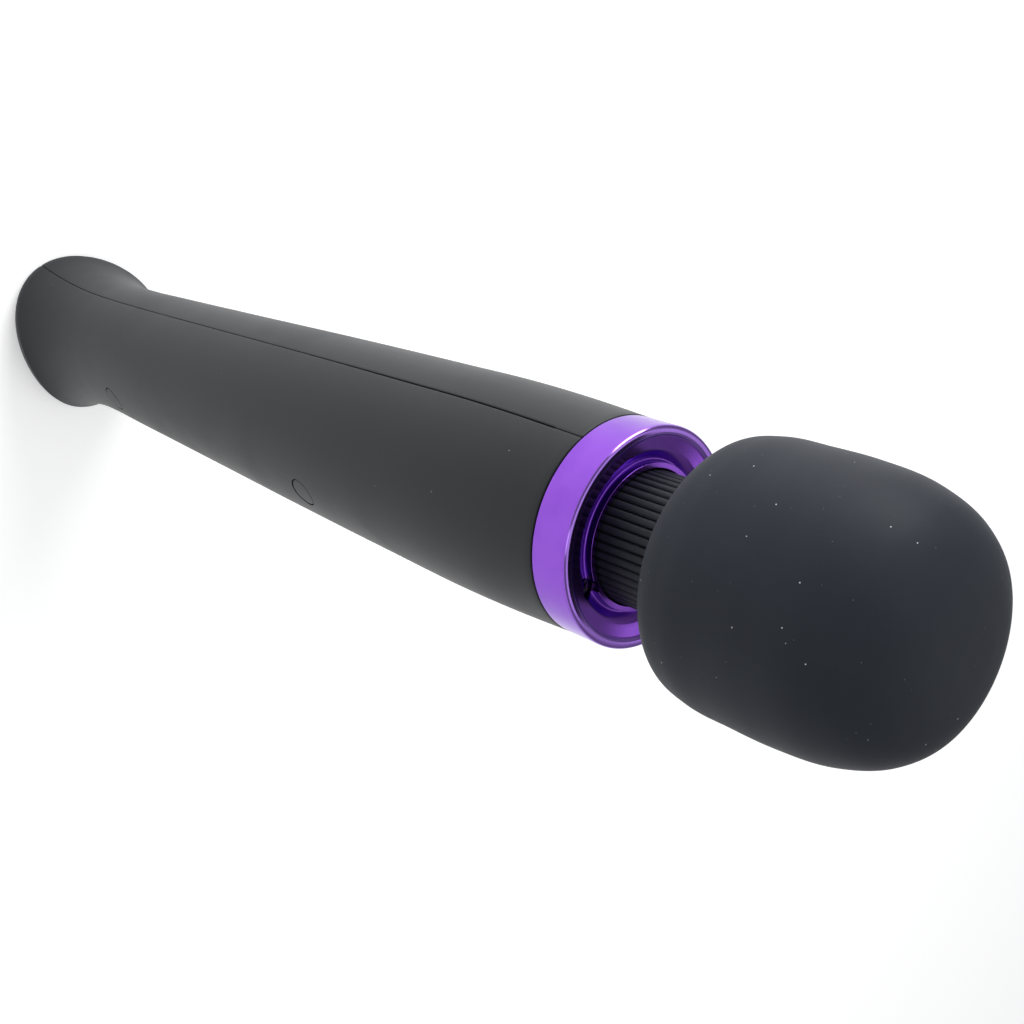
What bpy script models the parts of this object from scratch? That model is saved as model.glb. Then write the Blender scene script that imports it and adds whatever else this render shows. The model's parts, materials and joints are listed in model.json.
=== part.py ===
"""Handheld cordless wand massager, modelled at real size in metres with +Z up.

The wand stands on the flat end plate of its tail, with the handle's axis on world Z. The parting
plane of the two handle shells is the XZ plane: the buttons are on the front (-Y) and the screw
plugs on the back (+Y). The head joins the handle through a flexible neck inside a dished collar.
"""

import math

import bpy
import bmesh
from mathutils import Vector

MM = 0.001
GAP = 0.3 * MM                      # clearance kept between neighbouring pieces

# Heights along the axis
CORE_SPLIT = 316.0 * MM             # joint between the two halves of the head core
NECK_FRONT_Z = 271.0 * MM           # level of the axis about which the neck nods (X)
NECK_SIDE_Z = 279.0 * MM            # level of the axis about which the neck leans (Y)

# Handle shells: stations of the mean outer radius, top to tail
HANDLE_STATIONS = (
    (260.0, 24.25), (245.0, 24.9), (229.0, 25.2), (200.0, 24.7), (158.0, 23.7), (118.0, 22.5),
    (84.0, 21.5), (66.0, 21.0), (46.0, 20.5), (35.0, 20.6), (25.0, 21.4), (17.5, 22.7),
    (11.5, 24.3), (8.2, 25.5), (6.9, 26.0), (6.2, 25.8),
)
WALL = 2.2 * MM
PARTING = 0.15 * MM                 # half of the gap on the parting plane
TAIL_START = 77.0 * MM              # above this the handle is round
TAIL_FULL = 8.0 * MM                # below this the tail is fully oval
TAIL_OVAL = 0.035                   # widening along X and narrowing along Y
TAIL_SWEEP = 5.4 * MM               # the rim hangs lower at the sides and higher front and back
RIM_RADIUS = 26.0 * MM
MOUTH_X = 20.0 * MM                 # opening under the tail, filled by the end plate
MOUTH_Y = 12.0 * MM
MOUTH_Z = 0.5 * MM
MOUTH_WALL = 3.0 * MM
SHELL_STEPS = 18

# Screws that hold the shells together, each under a plug
SCREW_LEVELS = {"upper": 172.7 * MM, "lower": 62.6 * MM}
PLUG_RADIUS = 3.85 * MM
BOSS_RADIUS_REAR = 5.3 * MM
BOSS_RADIUS_FRONT = 4.2 * MM

# Controls on the front
BUTTON_LEVELS = {"power": 222.0 * MM, "plus": 205.0 * MM, "minus": 189.0 * MM, "pattern": 156.0 * MM}
BUTTON_RADIUS = 5.5 * MM
LED_LEVEL = 236.0 * MM
BOARD_FRONT = -13.6 * MM            # Y of the board's front face
BOARD_THICKNESS = 1.6 * MM

# Neck, collar and head
COLLAR_SCREW_Y = 17.4 * MM
COLLAR_SINK = 2.1 * MM              # radius of the sunk hole above each collar screw
COLLAR_BORE = 1.3 * MM              # radius of the clearance hole for its shank
SLEEVE_CREST = 14.6 * MM
SLEEVE_ROOT = 14.0 * MM
SLEEVE_BORE = 11.6 * MM
FLUTES = 30
SPRING_RADIUS = 8.4 * MM
SPRING_WIRE = 0.9 * MM
SHAFT_RADIUS = 1.15 * MM


# ---------------------------------------------------------------- scene and materials

def clear_scene():
    """Remove every object of the open file."""
    for old in list(bpy.data.objects):
        bpy.data.objects.remove(old, do_unlink=True)


def new_collection(name):
    """Return a new collection linked to the scene."""
    collection = bpy.data.collections.new(name)
    bpy.context.scene.collection.children.link(collection)
    return collection


def material(name, colour, roughness, metallic=0.0):
    """Return a Principled material with the given base values."""
    found = bpy.data.materials.get(name)
    if found is not None:
        return found
    made = bpy.data.materials.new(name)
    made.use_nodes = True
    shader = made.node_tree.nodes["Principled BSDF"]
    shader.inputs["Base Color"].default_value = (*colour, 1.0)
    shader.inputs["Roughness"].default_value = roughness
    shader.inputs["Metallic"].default_value = metallic
    return made


SOFT_TOUCH = ("soft_touch_shell", (0.045, 0.047, 0.052), 0.55)
SILICONE = ("head_silicone", (0.024, 0.026, 0.032), 0.62)
NECK_RUBBER = ("neck_rubber", (0.014, 0.016, 0.020), 0.5)
ANODISED = ("anodised_collar", (0.25, 0.084, 0.56), 0.20, 1.0)
STEEL = ("steel", (0.55, 0.56, 0.58), 0.3, 1.0)
DARK_STEEL = ("dark_steel", (0.05, 0.05, 0.055), 0.35, 1.0)
ABS_BLACK = ("abs_black", (0.03, 0.03, 0.033), 0.45)
ABS_GREY = ("abs_grey", (0.22, 0.23, 0.24), 0.5)
RUBBER = ("damper_rubber", (0.02, 0.02, 0.02), 0.8)
BRASS = ("weight_brass", (0.62, 0.47, 0.22), 0.32, 1.0)
COPPER = ("copper", (0.72, 0.33, 0.16), 0.3, 1.0)
FERRITE = ("ferrite", (0.07, 0.07, 0.075), 0.6)
BOARD = ("circuit_board", (0.02, 0.14, 0.06), 0.45)
CELL_WRAP = ("cell_wrap", (0.10, 0.22, 0.45), 0.4)
RED_LEAD = ("red_lead", (0.55, 0.03, 0.03), 0.45)
BLACK_LEAD = ("black_lead", (0.02, 0.02, 0.02), 0.45)
CLEAR = ("light_pipe", (0.75, 0.80, 0.85), 0.15)
CARD = ("insulator_card", (0.62, 0.55, 0.36), 0.7)


# ---------------------------------------------------------------- modelling helpers

def place(obj, name, finish, collection, pivot=None):
    """Name an object, give it its material and collection, and hang it on its pivot."""
    obj.name = name
    obj.data.name = name
    obj.data.materials.clear()
    obj.data.materials.append(material(*finish))
    for old in list(obj.users_collection):
        old.objects.unlink(obj)
    collection.objects.link(obj)
    if pivot is not None:
        bpy.context.view_layer.update()
        obj.parent = pivot
        obj.matrix_parent_inverse = pivot.matrix_world.inverted()
    return obj


def pivot_empty(name, location, collection, parent=None):
    """Add an empty on a joint's axis."""
    empty = bpy.data.objects.new(name, None)
    empty.empty_display_size = 0.01
    empty.location = location
    collection.objects.link(empty)
    bpy.context.view_layer.update()
    if parent is not None:
        empty.parent = parent
        empty.matrix_parent_inverse = parent.matrix_world.inverted()
        bpy.context.view_layer.update()
    return empty


def mesh_object(mesh):
    """Wrap a mesh in an object linked to the scene."""
    obj = bpy.data.objects.new("piece", mesh)
    bpy.context.scene.collection.objects.link(obj)
    return obj


def smooth(mesh, degrees=38.0):
    """Shade a mesh smooth with its sharp edges kept."""
    mesh.shade_smooth()
    mesh.set_sharp_from_angle(angle=math.radians(degrees))


def turned(profile, steps=32, closed=False):
    """Turn a profile of (radius, height) points, in millimetres, about Z.

    The points run down the outer side. A closed profile makes a ring; an open one starts and
    ends on the axis.
    """
    points = [Vector((radius * MM, 0.0, height * MM)) for radius, height in profile]
    edges = [(i, i + 1) for i in range(len(points) - 1)]
    if closed:
        edges.append((len(points) - 1, 0))
    mesh = bpy.data.meshes.new("profile")
    mesh.from_pydata(points, edges, [])
    obj = mesh_object(mesh)
    screw = obj.modifiers.new("turn", "SCREW")
    screw.axis = "Z"
    screw.angle = math.tau
    screw.steps = steps
    screw.render_steps = steps
    screw.use_merge_vertices = True
    screw.merge_threshold = 0.00001
    screw.use_smooth_shade = True
    screw.use_normal_calculate = False
    return obj


def cylinder(radius, depth, centre, axis="Z", sides=20):
    """Add a capped cylinder centred on a point, along one world axis."""
    mesh = bpy.data.meshes.new("cylinder")
    build = bmesh.new()
    bmesh.ops.create_cone(build, cap_ends=True, segments=sides, radius1=radius, radius2=radius,
                          depth=depth)
    build.to_mesh(mesh)
    build.free()
    smooth(mesh)
    obj = mesh_object(mesh)
    obj.location = centre
    if axis == "Y":
        obj.rotation_euler = (math.pi / 2.0, 0.0, 0.0)
    return obj


def box(size, centre, bevel=0.0):
    """Add a box of a given size centred on a point, with bevelled edges if asked."""
    mesh = bpy.data.meshes.new("box")
    build = bmesh.new()
    bmesh.ops.create_cube(build, size=1.0)
    bmesh.ops.scale(build, vec=size, verts=build.verts)
    build.to_mesh(mesh)
    build.free()
    obj = mesh_object(mesh)
    obj.location = centre
    if bevel > 0.0:
        edge = obj.modifiers.new("edge", "BEVEL")
        edge.width = bevel
        edge.segments = 1
    return obj


def plate(outlines, thickness, bottom):
    """Extrude flat closed outlines, given in metres, upwards from a height.

    The first outline is the edge of the plate and the others are its holes.
    """
    curve = bpy.data.curves.new("outline", "CURVE")
    curve.dimensions = "2D"
    curve.fill_mode = "BOTH"
    curve.extrude = thickness / 2.0
    for outline in outlines:
        spline = curve.splines.new("POLY")
        spline.points.add(len(outline) - 1)
        for point, (x, y) in zip(spline.points, outline):
            point.co = (x, y, 0.0, 1.0)
        spline.use_cyclic_u = True
    obj = bpy.data.objects.new("plate", curve)
    bpy.context.scene.collection.objects.link(obj)
    obj.location = (0.0, 0.0, bottom + thickness / 2.0)
    return obj


def tube(points, radius, resolution=2):
    """Run a round wire with filled ends through a list of points."""
    curve = bpy.data.curves.new("wire", "CURVE")
    curve.dimensions = "3D"
    curve.bevel_depth = radius
    curve.bevel_resolution = resolution
    curve.use_fill_caps = True
    spline = curve.splines.new("POLY")
    spline.points.add(len(points) - 1)
    for point, position in zip(spline.points, points):
        point.co = (*position, 1.0)
    obj = bpy.data.objects.new("wire", curve)
    bpy.context.scene.collection.objects.link(obj)
    return obj


def smooth_route(anchors, per_span=4):
    """Return points of a Catmull-Rom curve through the anchors of a wire."""
    ends = [2.0 * anchors[0] - anchors[1]] + anchors + [2.0 * anchors[-1] - anchors[-2]]
    route = []
    for i in range(1, len(ends) - 2):
        a, b, c, d = ends[i - 1:i + 3]
        for k in range(per_span):
            t = k / per_span
            route.append(0.5 * (2.0 * b + (c - a) * t + (2.0 * a - 5.0 * b + 4.0 * c - d) * t * t
                                + (3.0 * b - a - 3.0 * c + d) * t ** 3))
    route.append(anchors[-1])
    return route


def as_mesh(obj):
    """Replace a curve object by its welded mesh."""
    evaluated = obj.evaluated_get(bpy.context.evaluated_depsgraph_get())
    mesh = bpy.data.meshes.new_from_object(evaluated)
    build = bmesh.new()
    build.from_mesh(mesh)
    bmesh.ops.remove_doubles(build, verts=build.verts, dist=0.000005)
    build.to_mesh(mesh)
    build.free()
    made = mesh_object(mesh)
    made.matrix_world = obj.matrix_world
    bpy.data.objects.remove(obj, do_unlink=True)
    return made


def join_or_cut(obj, tool, operation, cutters):
    """Add an exact Boolean of a hidden tool object to a piece."""
    for old in list(tool.users_collection):
        old.objects.unlink(tool)
    cutters.objects.link(tool)
    tool.name = "cutter"
    tool.hide_render = True
    tool.display_type = "WIRE"
    step = obj.modifiers.new(operation.lower(), "BOOLEAN")
    step.operation = operation
    step.solver = "EXACT"
    step.object = tool


def circle(radius, count, centre=(0.0, 0.0)):
    """Return the points of a circle."""
    return [(centre[0] + radius * math.cos(math.tau * i / count),
             centre[1] + radius * math.sin(math.tau * i / count)) for i in range(count)]


# ---------------------------------------------------------------- handle shells

def mean_radius(height):
    """Return the handle's mean outer radius at a height, straight between its stations."""
    stations = [(z * MM, r * MM) for z, r in HANDLE_STATIONS]
    for (upper_z, upper_r), (lower_z, lower_r) in zip(stations, stations[1:]):
        if height >= lower_z:
            share = (height - lower_z) / (upper_z - lower_z)
            return lower_r + (upper_r - lower_r) * min(share, 1.0)
    return stations[-1][1]


def tail_weight(height):
    """Return 0 on the round handle and 1 at the oval tail, with a smooth step between."""
    share = (TAIL_START - height) / (TAIL_START - TAIL_FULL)
    share = min(max(share, 0.0), 1.0)
    return share * share * (3.0 - 2.0 * share)


def shaped(radius, height, angle):
    """Return the point of a handle ring at an angle, with the tail's oval and its swept rim."""
    weight = tail_weight(height)
    wave = math.cos(2.0 * angle)
    ring = radius * (1.0 + TAIL_OVAL * weight * wave)
    drop = TAIL_SWEEP * weight * wave * (radius / RIM_RADIUS) ** 2
    return Vector((ring * math.cos(angle), ring * math.sin(angle), height - drop))


def under_tail(rim, angle, lift):
    """Return the points that round from a rim point in to the mouth of the tail."""
    mouth = Vector((MOUTH_X * math.cos(angle), MOUTH_Y * math.sin(angle), MOUTH_Z + lift))
    points = []
    for share in (0.3, 0.6, 0.85):
        turn = share * math.pi / 2.0
        point = mouth + (rim - mouth) * math.cos(turn)
        point.z = mouth.z + (rim.z - mouth.z) * (1.0 - math.sin(turn))
        points.append(point)
    points.append(mouth)
    return points


def shell_section(angle):
    """Return the closed outline of the shell wall at one angle around the axis."""
    outer = [shaped(r * MM, z * MM, angle) for z, r in HANDLE_STATIONS]
    outer += under_tail(outer[-1], angle, 0.0)
    inner_levels = [z for z, _ in HANDLE_STATIONS if 13.0 <= z <= 240.0]
    inner_levels = [260.0] + inner_levels + [13.0]
    inner = [shaped(mean_radius(z * MM) - WALL, z * MM, angle) for z in inner_levels]
    inner += under_tail(inner[-1], angle, MOUTH_WALL)
    return outer + inner[::-1]


def shell_half(side):
    """Loft one half shell between the parting plane's two edges: side is 1 at the back.

    The round handle and the oval, swept tail are unlike sections, so the wall is a grid of
    shell_section outlines, closed by one face on the parting plane at each end.
    """
    sections = [shell_section(side * math.pi * i / SHELL_STEPS) for i in range(SHELL_STEPS + 1)]
    count = len(sections[0])
    shift = Vector((0.0, side * PARTING, 0.0))
    points = []
    for section in sections:
        points += [point + shift for point in section]
    last = SHELL_STEPS * count
    faces = [tuple(range(count)), tuple(range(last + count - 1, last - 1, -1))]
    for i in range(SHELL_STEPS):
        for j in range(count):
            k = (j + 1) % count
            faces.append((i * count + j, (i + 1) * count + j, (i + 1) * count + k, i * count + k))
    mesh = bpy.data.meshes.new("shell")
    mesh.from_pydata(points, [], faces)
    build = bmesh.new()
    build.from_mesh(mesh)
    bmesh.ops.recalc_face_normals(build, faces=build.faces)
    build.to_mesh(mesh)
    build.free()
    smooth(mesh, 30.0)
    return mesh_object(mesh)


def along_y(radius, start, end, height, x=0.0, sides=20):
    """Add a cylinder along Y between two Y values at a height."""
    return cylinder(radius, abs(end - start), (x, (start + end) / 2.0, height), "Y", sides)


def rear_shell(parts, cutters):
    """Build the back half shell with its two screw bosses."""
    obj = shell_half(1.0)
    for height in SCREW_LEVELS.values():
        reach = mean_radius(height)
        join_or_cut(obj, along_y(BOSS_RADIUS_REAR, 1.0 * MM, reach - 1.2 * MM, height), "UNION", cutters)
        recess = along_y(PLUG_RADIUS + GAP, 8.0 * MM, reach + 4.0 * MM, height)
        join_or_cut(obj, recess, "DIFFERENCE", cutters)
        join_or_cut(obj, along_y(1.7 * MM, 0.0, 9.0 * MM, height, sides=16), "DIFFERENCE", cutters)
    return place(obj, "rear_shell", SOFT_TOUCH, parts)


def front_shell(parts, cutters):
    """Build the front half shell with its screw bosses, button holes and light hole."""
    obj = shell_half(-1.0)
    for height in SCREW_LEVELS.values():
        reach = mean_radius(height)
        join_or_cut(obj, along_y(BOSS_RADIUS_FRONT, -1.0 * MM, 1.2 * MM - reach, height), "UNION", cutters)
        join_or_cut(obj, along_y(1.7 * MM, 0.0, -12.0 * MM, height, sides=16), "DIFFERENCE", cutters)
    for height in BUTTON_LEVELS.values():
        hole = along_y(BUTTON_RADIUS + GAP, -16.0 * MM, -30.0 * MM, height)
        join_or_cut(obj, hole, "DIFFERENCE", cutters)
    hole = along_y(1.3 * MM + GAP, -16.0 * MM, -30.0 * MM, LED_LEVEL, sides=16)
    join_or_cut(obj, hole, "DIFFERENCE", cutters)
    return place(obj, "front_shell", SOFT_TOUCH, parts)


def shell_fasteners(parts):
    """Build the two long shell screws and the round plugs over them."""
    for label, height in SCREW_LEVELS.items():
        profile = [(0.0, 2.2), (2.4, 2.0), (2.9, 1.3), (2.9, 0.3), (1.4, 0.3), (1.4, -16.6), (0.0, -18.0)]
        screw = turned(profile, 16)
        screw.location = (0.0, 8.0 * MM, height)
        screw.rotation_euler = (-math.pi / 2.0, 0.0, 0.0)
        place(screw, "shell_screw_" + label, STEEL, parts)
        reach = mean_radius(height)
        plug = along_y(PLUG_RADIUS, 11.0 * MM, reach - 0.15 * MM, height)
        place(plug, "screw_plug_" + label, SOFT_TOUCH, parts)


# ---------------------------------------------------------------- tail

def end_plate(parts):
    """Build the oval plate that closes the tail and carries the wand when it stands."""
    edge = [((MOUTH_X - GAP) * math.cos(math.tau * i / 32), (MOUTH_Y - GAP) * math.sin(math.tau * i / 32))
            for i in range(32)]
    holes = [circle(4.85 * MM, 18)] + [circle(2.05 * MM, 12, (x * MM, 0.0)) for x in (-13.5, 13.5)]
    obj = as_mesh(plate([edge] + holes, 3.2 * MM, 0.0))
    place(obj, "end_plate", ABS_BLACK, parts)
    for label, x in (("left", -13.5), ("right", 13.5)):
        profile = [(0.0, 9.0), (1.0, 8.0), (1.0, 1.7), (1.7, 1.7), (1.7, 0.5), (0.0, 0.5)]
        screw = turned(profile, 14)
        screw.location = (x * MM, 0.0, 0.0)
        place(screw, "end_screw_" + label, DARK_STEEL, parts)


def charging_jack(parts):
    """Build the round charging inlet in the tail and its centre pin."""
    body = turned([(0.0, 15.0), (4.5, 15.0), (4.5, 0.4), (2.8, 0.4), (2.8, 10.0), (0.0, 10.0)], 18)
    place(body, "charge_jack", ABS_BLACK, parts)
    pin = turned([(0.0, 9.7), (0.95, 9.7), (0.95, 2.9), (0.5, 2.3), (0.0, 2.3)], 12)
    place(pin, "charge_jack_pin", STEEL, parts)


# ---------------------------------------------------------------- electronics in the handle

def battery(parts):
    """Build the two cells side by side with their cradle and end cards."""
    for label, x in (("left", -9.45), ("right", 9.45)):
        profile = [(0.0, 135.2), (3.0, 135.2), (3.0, 134.0), (9.15, 134.0), (9.15, 70.0), (0.0, 70.0)]
        cell = turned(profile, 20)
        cell.location = (x * MM, 0.0, 0.0)
        place(cell, "battery_cell_" + label, CELL_WRAP, parts)
    back = box((24.0 * MM, 1.8 * MM, 58.0 * MM), (0.0, 10.6 * MM, 102.0 * MM), 0.4 * MM)
    place(back, "battery_cradle", ABS_GREY, parts)
    for label, z in (("lower", 69.1), ("upper", 136.1)):
        card = box((30.0 * MM, 19.0 * MM, 1.0 * MM), (0.0, 0.0, z * MM), 0.2 * MM)
        place(card, "battery_card_" + label, CARD, parts)


def circuit_board(parts, cutters):
    """Build the control board with a hole for the upper shell boss, and its light."""
    centre_y = BOARD_FRONT + BOARD_THICKNESS / 2.0
    board = box((26.0 * MM, BOARD_THICKNESS, 94.0 * MM), (0.0, centre_y, 193.0 * MM))
    boss_hole = along_y(4.8 * MM, -10.0 * MM, -16.0 * MM, SCREW_LEVELS["upper"])
    join_or_cut(board, boss_hole, "DIFFERENCE", cutters)
    place(board, "circuit_board", BOARD, parts)
    chip = box((9.0 * MM, 1.4 * MM, 9.0 * MM), (0.0, -11.0 * MM, 197.0 * MM), 0.2 * MM)
    place(chip, "controller_chip", ABS_BLACK, parts)
    reach = mean_radius(LED_LEVEL)
    lens = along_y(1.3 * MM, 0.1 * MM - reach, -17.0 * MM, LED_LEVEL, sides=16)
    place(lens, "status_light_pipe", CLEAR, parts)


def buttons(parts):
    """Build each push button with its switch and the plunger that travels with it.

    A button is turned on its own axis, which points out of the front of the shell: a domed cap,
    a wide flange that holds it behind the wall, and a stem that reaches its switch.
    """
    for label, height in BUTTON_LEVELS.items():
        reach = mean_radius(height) / MM
        foot = 18.6
        flange = reach - 5.1
        profile = [
            (0.0, reach + 0.8), (3.2, reach + 0.65), (5.0, reach + 0.2), (5.5, reach - 0.5),
            (5.5, flange + 1.2), (6.8, flange + 1.2), (6.8, flange), (2.0, flange), (2.0, foot),
            (0.0, foot),
        ]
        cap = turned([(r, y - reach) for r, y in profile], 16)
        cap.location = (0.0, -reach * MM, height)
        cap.rotation_euler = (math.pi / 2.0, 0.0, 0.0)
        place(cap, "button_" + label, SILICONE, parts)
        body = box((6.0 * MM, 3.0 * MM, 6.0 * MM), (0.0, -15.4 * MM, height), 0.3 * MM)
        place(body, "switch_" + label, ABS_GREY, parts)
        plunger = along_y(1.6 * MM, -18.3 * MM, -17.7 * MM, height, sides=12)
        place(plunger, "switch_plunger_" + label, DARK_STEEL, parts)


def fixed_leads(parts):
    """Build the leads from the cells and from the charging jack to the board."""
    for label, x, finish in (("red", 1.0, RED_LEAD), ("black", -1.0, BLACK_LEAD)):
        route = [
            (9.0 * x, -3.0, 137.2), (8.5 * x, -5.5, 139.5), (7.0 * x, -9.0, 142.0), (6.0 * x, -12.6, 145.5),
        ]
        points = smooth_route([Vector(point) * MM for point in route], 3)
        place(tube(points, 0.7 * MM, 1), "battery_lead_" + label, finish, parts)
        route = [
            (1.6 * x, 0.0, 15.6), (2.4 * x, -2.0, 20.0), (5.0 * x, -9.0, 30.0), (6.6 * x, -12.2, 46.0),
            (6.6 * x, -12.6, 66.0), (4.0 * x, -12.4, 90.0), (3.0 * x, -12.4, 118.0),
            (3.0 * x, -12.6, 145.5),
        ]
        points = smooth_route([Vector(point) * MM for point in route], 3)
        place(tube(points, 0.6 * MM, 1), "charge_lead_" + label, finish, parts)


# ---------------------------------------------------------------- collar and neck

def collar(parts, cutters):
    """Build the dished collar: a round lip, a shallow dish, an inner ring round the neck and a skirt."""
    profile = [
        (24.25, 268.4), (24.25, 260.3), (21.5, 260.3), (21.5, 256.3), (19.7, 256.3), (19.7, 260.3),
        (14.95, 260.3), (14.95, 269.2), (16.2, 269.2), (16.3, 267.0), (18.8, 268.7), (21.9, 269.5),
        (22.4, 270.1), (23.0, 270.2), (23.85, 269.6),
    ]
    obj = turned(profile, 32, closed=True)
    for label, y in (("front", -COLLAR_SCREW_Y), ("rear", COLLAR_SCREW_Y)):
        sink = cylinder(COLLAR_SINK, 10.0 * MM, (0.0, y, 270.2 * MM), sides=18)
        join_or_cut(obj, sink, "DIFFERENCE", cutters)
        bore = cylinder(COLLAR_BORE, 8.0 * MM, (0.0, y, 262.0 * MM), sides=12)
        join_or_cut(obj, bore, "DIFFERENCE", cutters)
        fastener = [
            (0.0, 266.9), (1.4, 266.75), (1.8, 266.4), (1.8, 265.3), (1.0, 265.3), (1.0, 251.5),
            (0.0, 250.9),
        ]
        screw = turned(fastener, 14)
        screw.location = (0.0, y, 0.0)
        place(screw, "collar_screw_" + label, DARK_STEEL, parts)
    return place(obj, "collar", ANODISED, parts)


def neck_clamp(parts, cutters):
    """Build the plug that fills the top of the handle and holds the sleeve and the collar."""
    profile = [
        (11.2, 263.4), (11.2, 255.5), (21.6, 255.5), (21.6, 247.0), (5.0, 247.0), (5.0, 263.4),
    ]
    obj = turned(profile, 24, closed=True)
    for y in (-COLLAR_SCREW_Y, COLLAR_SCREW_Y):
        bore = cylinder(COLLAR_BORE, 8.0 * MM, (0.0, y, 254.5 * MM), sides=12)
        join_or_cut(obj, bore, "DIFFERENCE", cutters)
    return place(obj, "neck_clamp", ABS_BLACK, parts)


def neck_pieces(parts, pivot):
    """Build the fluted sleeve, the spring inside it and the leads that run up through it."""
    outline = []
    for i in range(2 * FLUTES):
        radius = SLEEVE_CREST if i % 2 == 0 else SLEEVE_ROOT
        angle = math.pi * i / FLUTES
        outline.append((radius * math.cos(angle), radius * math.sin(angle)))
    sleeve = as_mesh(plate([outline, circle(SLEEVE_BORE, 24)], 34.2 * MM, 256.0 * MM))
    place(sleeve, "neck_sleeve", NECK_RUBBER, parts, pivot)
    turns = 5
    per_turn = 9
    low = 264.9 * MM
    high = 281.8 * MM
    coil = []
    for i in range(turns * per_turn + 1):
        angle = math.tau * i / per_turn
        rise = low + (high - low) * i / (turns * per_turn)
        coil.append((SPRING_RADIUS * math.cos(angle), SPRING_RADIUS * math.sin(angle), rise))
    place(tube(coil, SPRING_WIRE, 1), "neck_spring", STEEL, parts, pivot)
    for label, x, finish in (("red", 1.0, RED_LEAD), ("black", -1.0, BLACK_LEAD)):
        route = [
            (4.0 * x, -12.8, 240.6), (3.8 * x, -8.0, 243.6), (2.4 * x, -2.0, 246.0), (1.8 * x, 0.0, 250.0),
            (1.6 * x, 0.0, 264.0), (1.6 * x, 0.0, 280.0), (1.8 * x, 0.0, 290.0), (2.4 * x, 0.0, 296.4),
        ]
        points = smooth_route([Vector(point) * MM for point in route], 3)
        place(tube(points, 0.7 * MM, 1), "motor_lead_" + label, finish, parts, pivot)


# ---------------------------------------------------------------- head

def head_shells(parts, pivot):
    """Build the silicone cover and the two halves of the rigid core inside it."""
    cover = turned([
        (0.0, 344.0), (8.0, 343.6), (14.6, 342.3), (19.4, 339.8), (23.5, 335.3), (26.9, 327.0),
        (28.25, 316.0), (28.25, 306.0), (27.9, 297.0), (26.4, 291.6), (23.0, 288.3), (19.4, 287.4),
        (15.2, 287.3), (15.2, 290.2), (21.0, 290.4), (23.6, 292.8), (25.3, 298.0), (25.6, 306.0),
        (25.6, 316.0), (24.3, 326.0), (21.2, 333.3), (17.6, 337.2), (12.0, 340.2), (0.0, 341.2),
    ], 28)
    place(cover, "head_cover", SILICONE, parts, pivot)
    lower = turned([
        (25.2, 315.9), (25.2, 306.0), (24.9, 298.2), (23.2, 293.3), (20.8, 290.8), (9.0, 290.6),
        (9.0, 293.4), (20.0, 293.4), (22.0, 295.0), (23.3, 298.6), (23.5, 306.0), (23.5, 315.9),
    ], 20, closed=True)
    place(lower, "head_core_lower", ABS_GREY, parts, pivot)
    upper = turned([
        (0.0, 340.8), (11.9, 339.8), (17.3, 336.9), (20.9, 333.0), (23.9, 325.9), (25.2, 316.2),
        (23.5, 316.2), (22.2, 325.4), (19.4, 331.9), (15.9, 335.6), (11.4, 338.0), (0.0, 338.9),
    ], 20)
    place(upper, "head_core_upper", ABS_GREY, parts, pivot)
    plug = turned([
        (8.7, 295.6), (8.7, 290.3), (11.2, 290.2), (11.2, 283.3), (4.0, 283.3), (4.0, 295.6),
    ], 20, closed=True)
    place(plug, "head_plug", ABS_BLACK, parts, pivot)


def motor_fixed(parts, pivot):
    """Build the motor's can, end bell, magnets and rubber dampers."""
    can = turned([
        (14.0, 329.4), (14.0, 299.2), (13.0, 299.2), (13.0, 328.4), (1.5, 328.4), (1.5, 329.4),
    ], 20, closed=True)
    place(can, "motor_can", STEEL, parts, pivot)
    bell = turned([(14.0, 298.9), (14.0, 297.0), (1.5, 297.0), (1.5, 298.9)], 20, closed=True)
    place(bell, "motor_end_bell", ABS_BLACK, parts, pivot)
    for label, middle in (("left", math.pi), ("right", 0.0)):
        arc = [middle + math.radians(140.0) * (i / 8 - 0.5) for i in range(9)]
        outline = [(12.7 * MM * math.cos(a), 12.7 * MM * math.sin(a)) for a in arc]
        outline += [(11.3 * MM * math.cos(a), 11.3 * MM * math.sin(a)) for a in reversed(arc)]
        magnet = as_mesh(plate([outline], 22.0 * MM, 303.0 * MM))
        place(magnet, "motor_magnet_" + label, FERRITE, parts, pivot)
    for label, low, reach in (("lower", 301.0, 23.0), ("upper", 321.0, 21.7)):
        ring = turned([(reach, low + 4.0), (reach, low), (14.3, low), (14.3, low + 4.0)], 20, closed=True)
        place(ring, "motor_damper_" + label, RUBBER, parts, pivot)


def motor_turning(parts, pivot):
    """Build the rotor, its commutator, the shaft and the eccentric weight."""
    bore = SHAFT_RADIUS / MM + 0.3
    rotor = turned([(10.7, 324.0), (10.7, 305.0), (bore, 305.0), (bore, 324.0)], 20, closed=True)
    place(rotor, "motor_rotor", COPPER, parts, pivot)
    ring = turned([(3.6, 304.2), (3.6, 300.2), (bore, 300.2), (bore, 304.2)], 16, closed=True)
    place(ring, "motor_commutator", COPPER, parts, pivot)
    shaft = cylinder(SHAFT_RADIUS, 40.2 * MM, (0.0, 0.0, 317.5 * MM), sides=12)
    place(shaft, "motor_shaft", STEEL, parts, pivot)
    arc = [math.radians(170.0) * (i / 14 - 0.5) for i in range(15)]
    outline = [(12.6 * MM * math.cos(a), 12.6 * MM * math.sin(a)) for a in arc]
    hub = [math.radians(90.0 + 180.0 * i / 8) for i in range(9)]
    outline += [(3.4 * MM * math.cos(a), 3.4 * MM * math.sin(a)) for a in hub]
    weight = as_mesh(plate([outline, circle(bore * MM, 12)], 5.4 * MM, 330.6 * MM))
    place(weight, "eccentric_weight", BRASS, parts, pivot)


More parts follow.
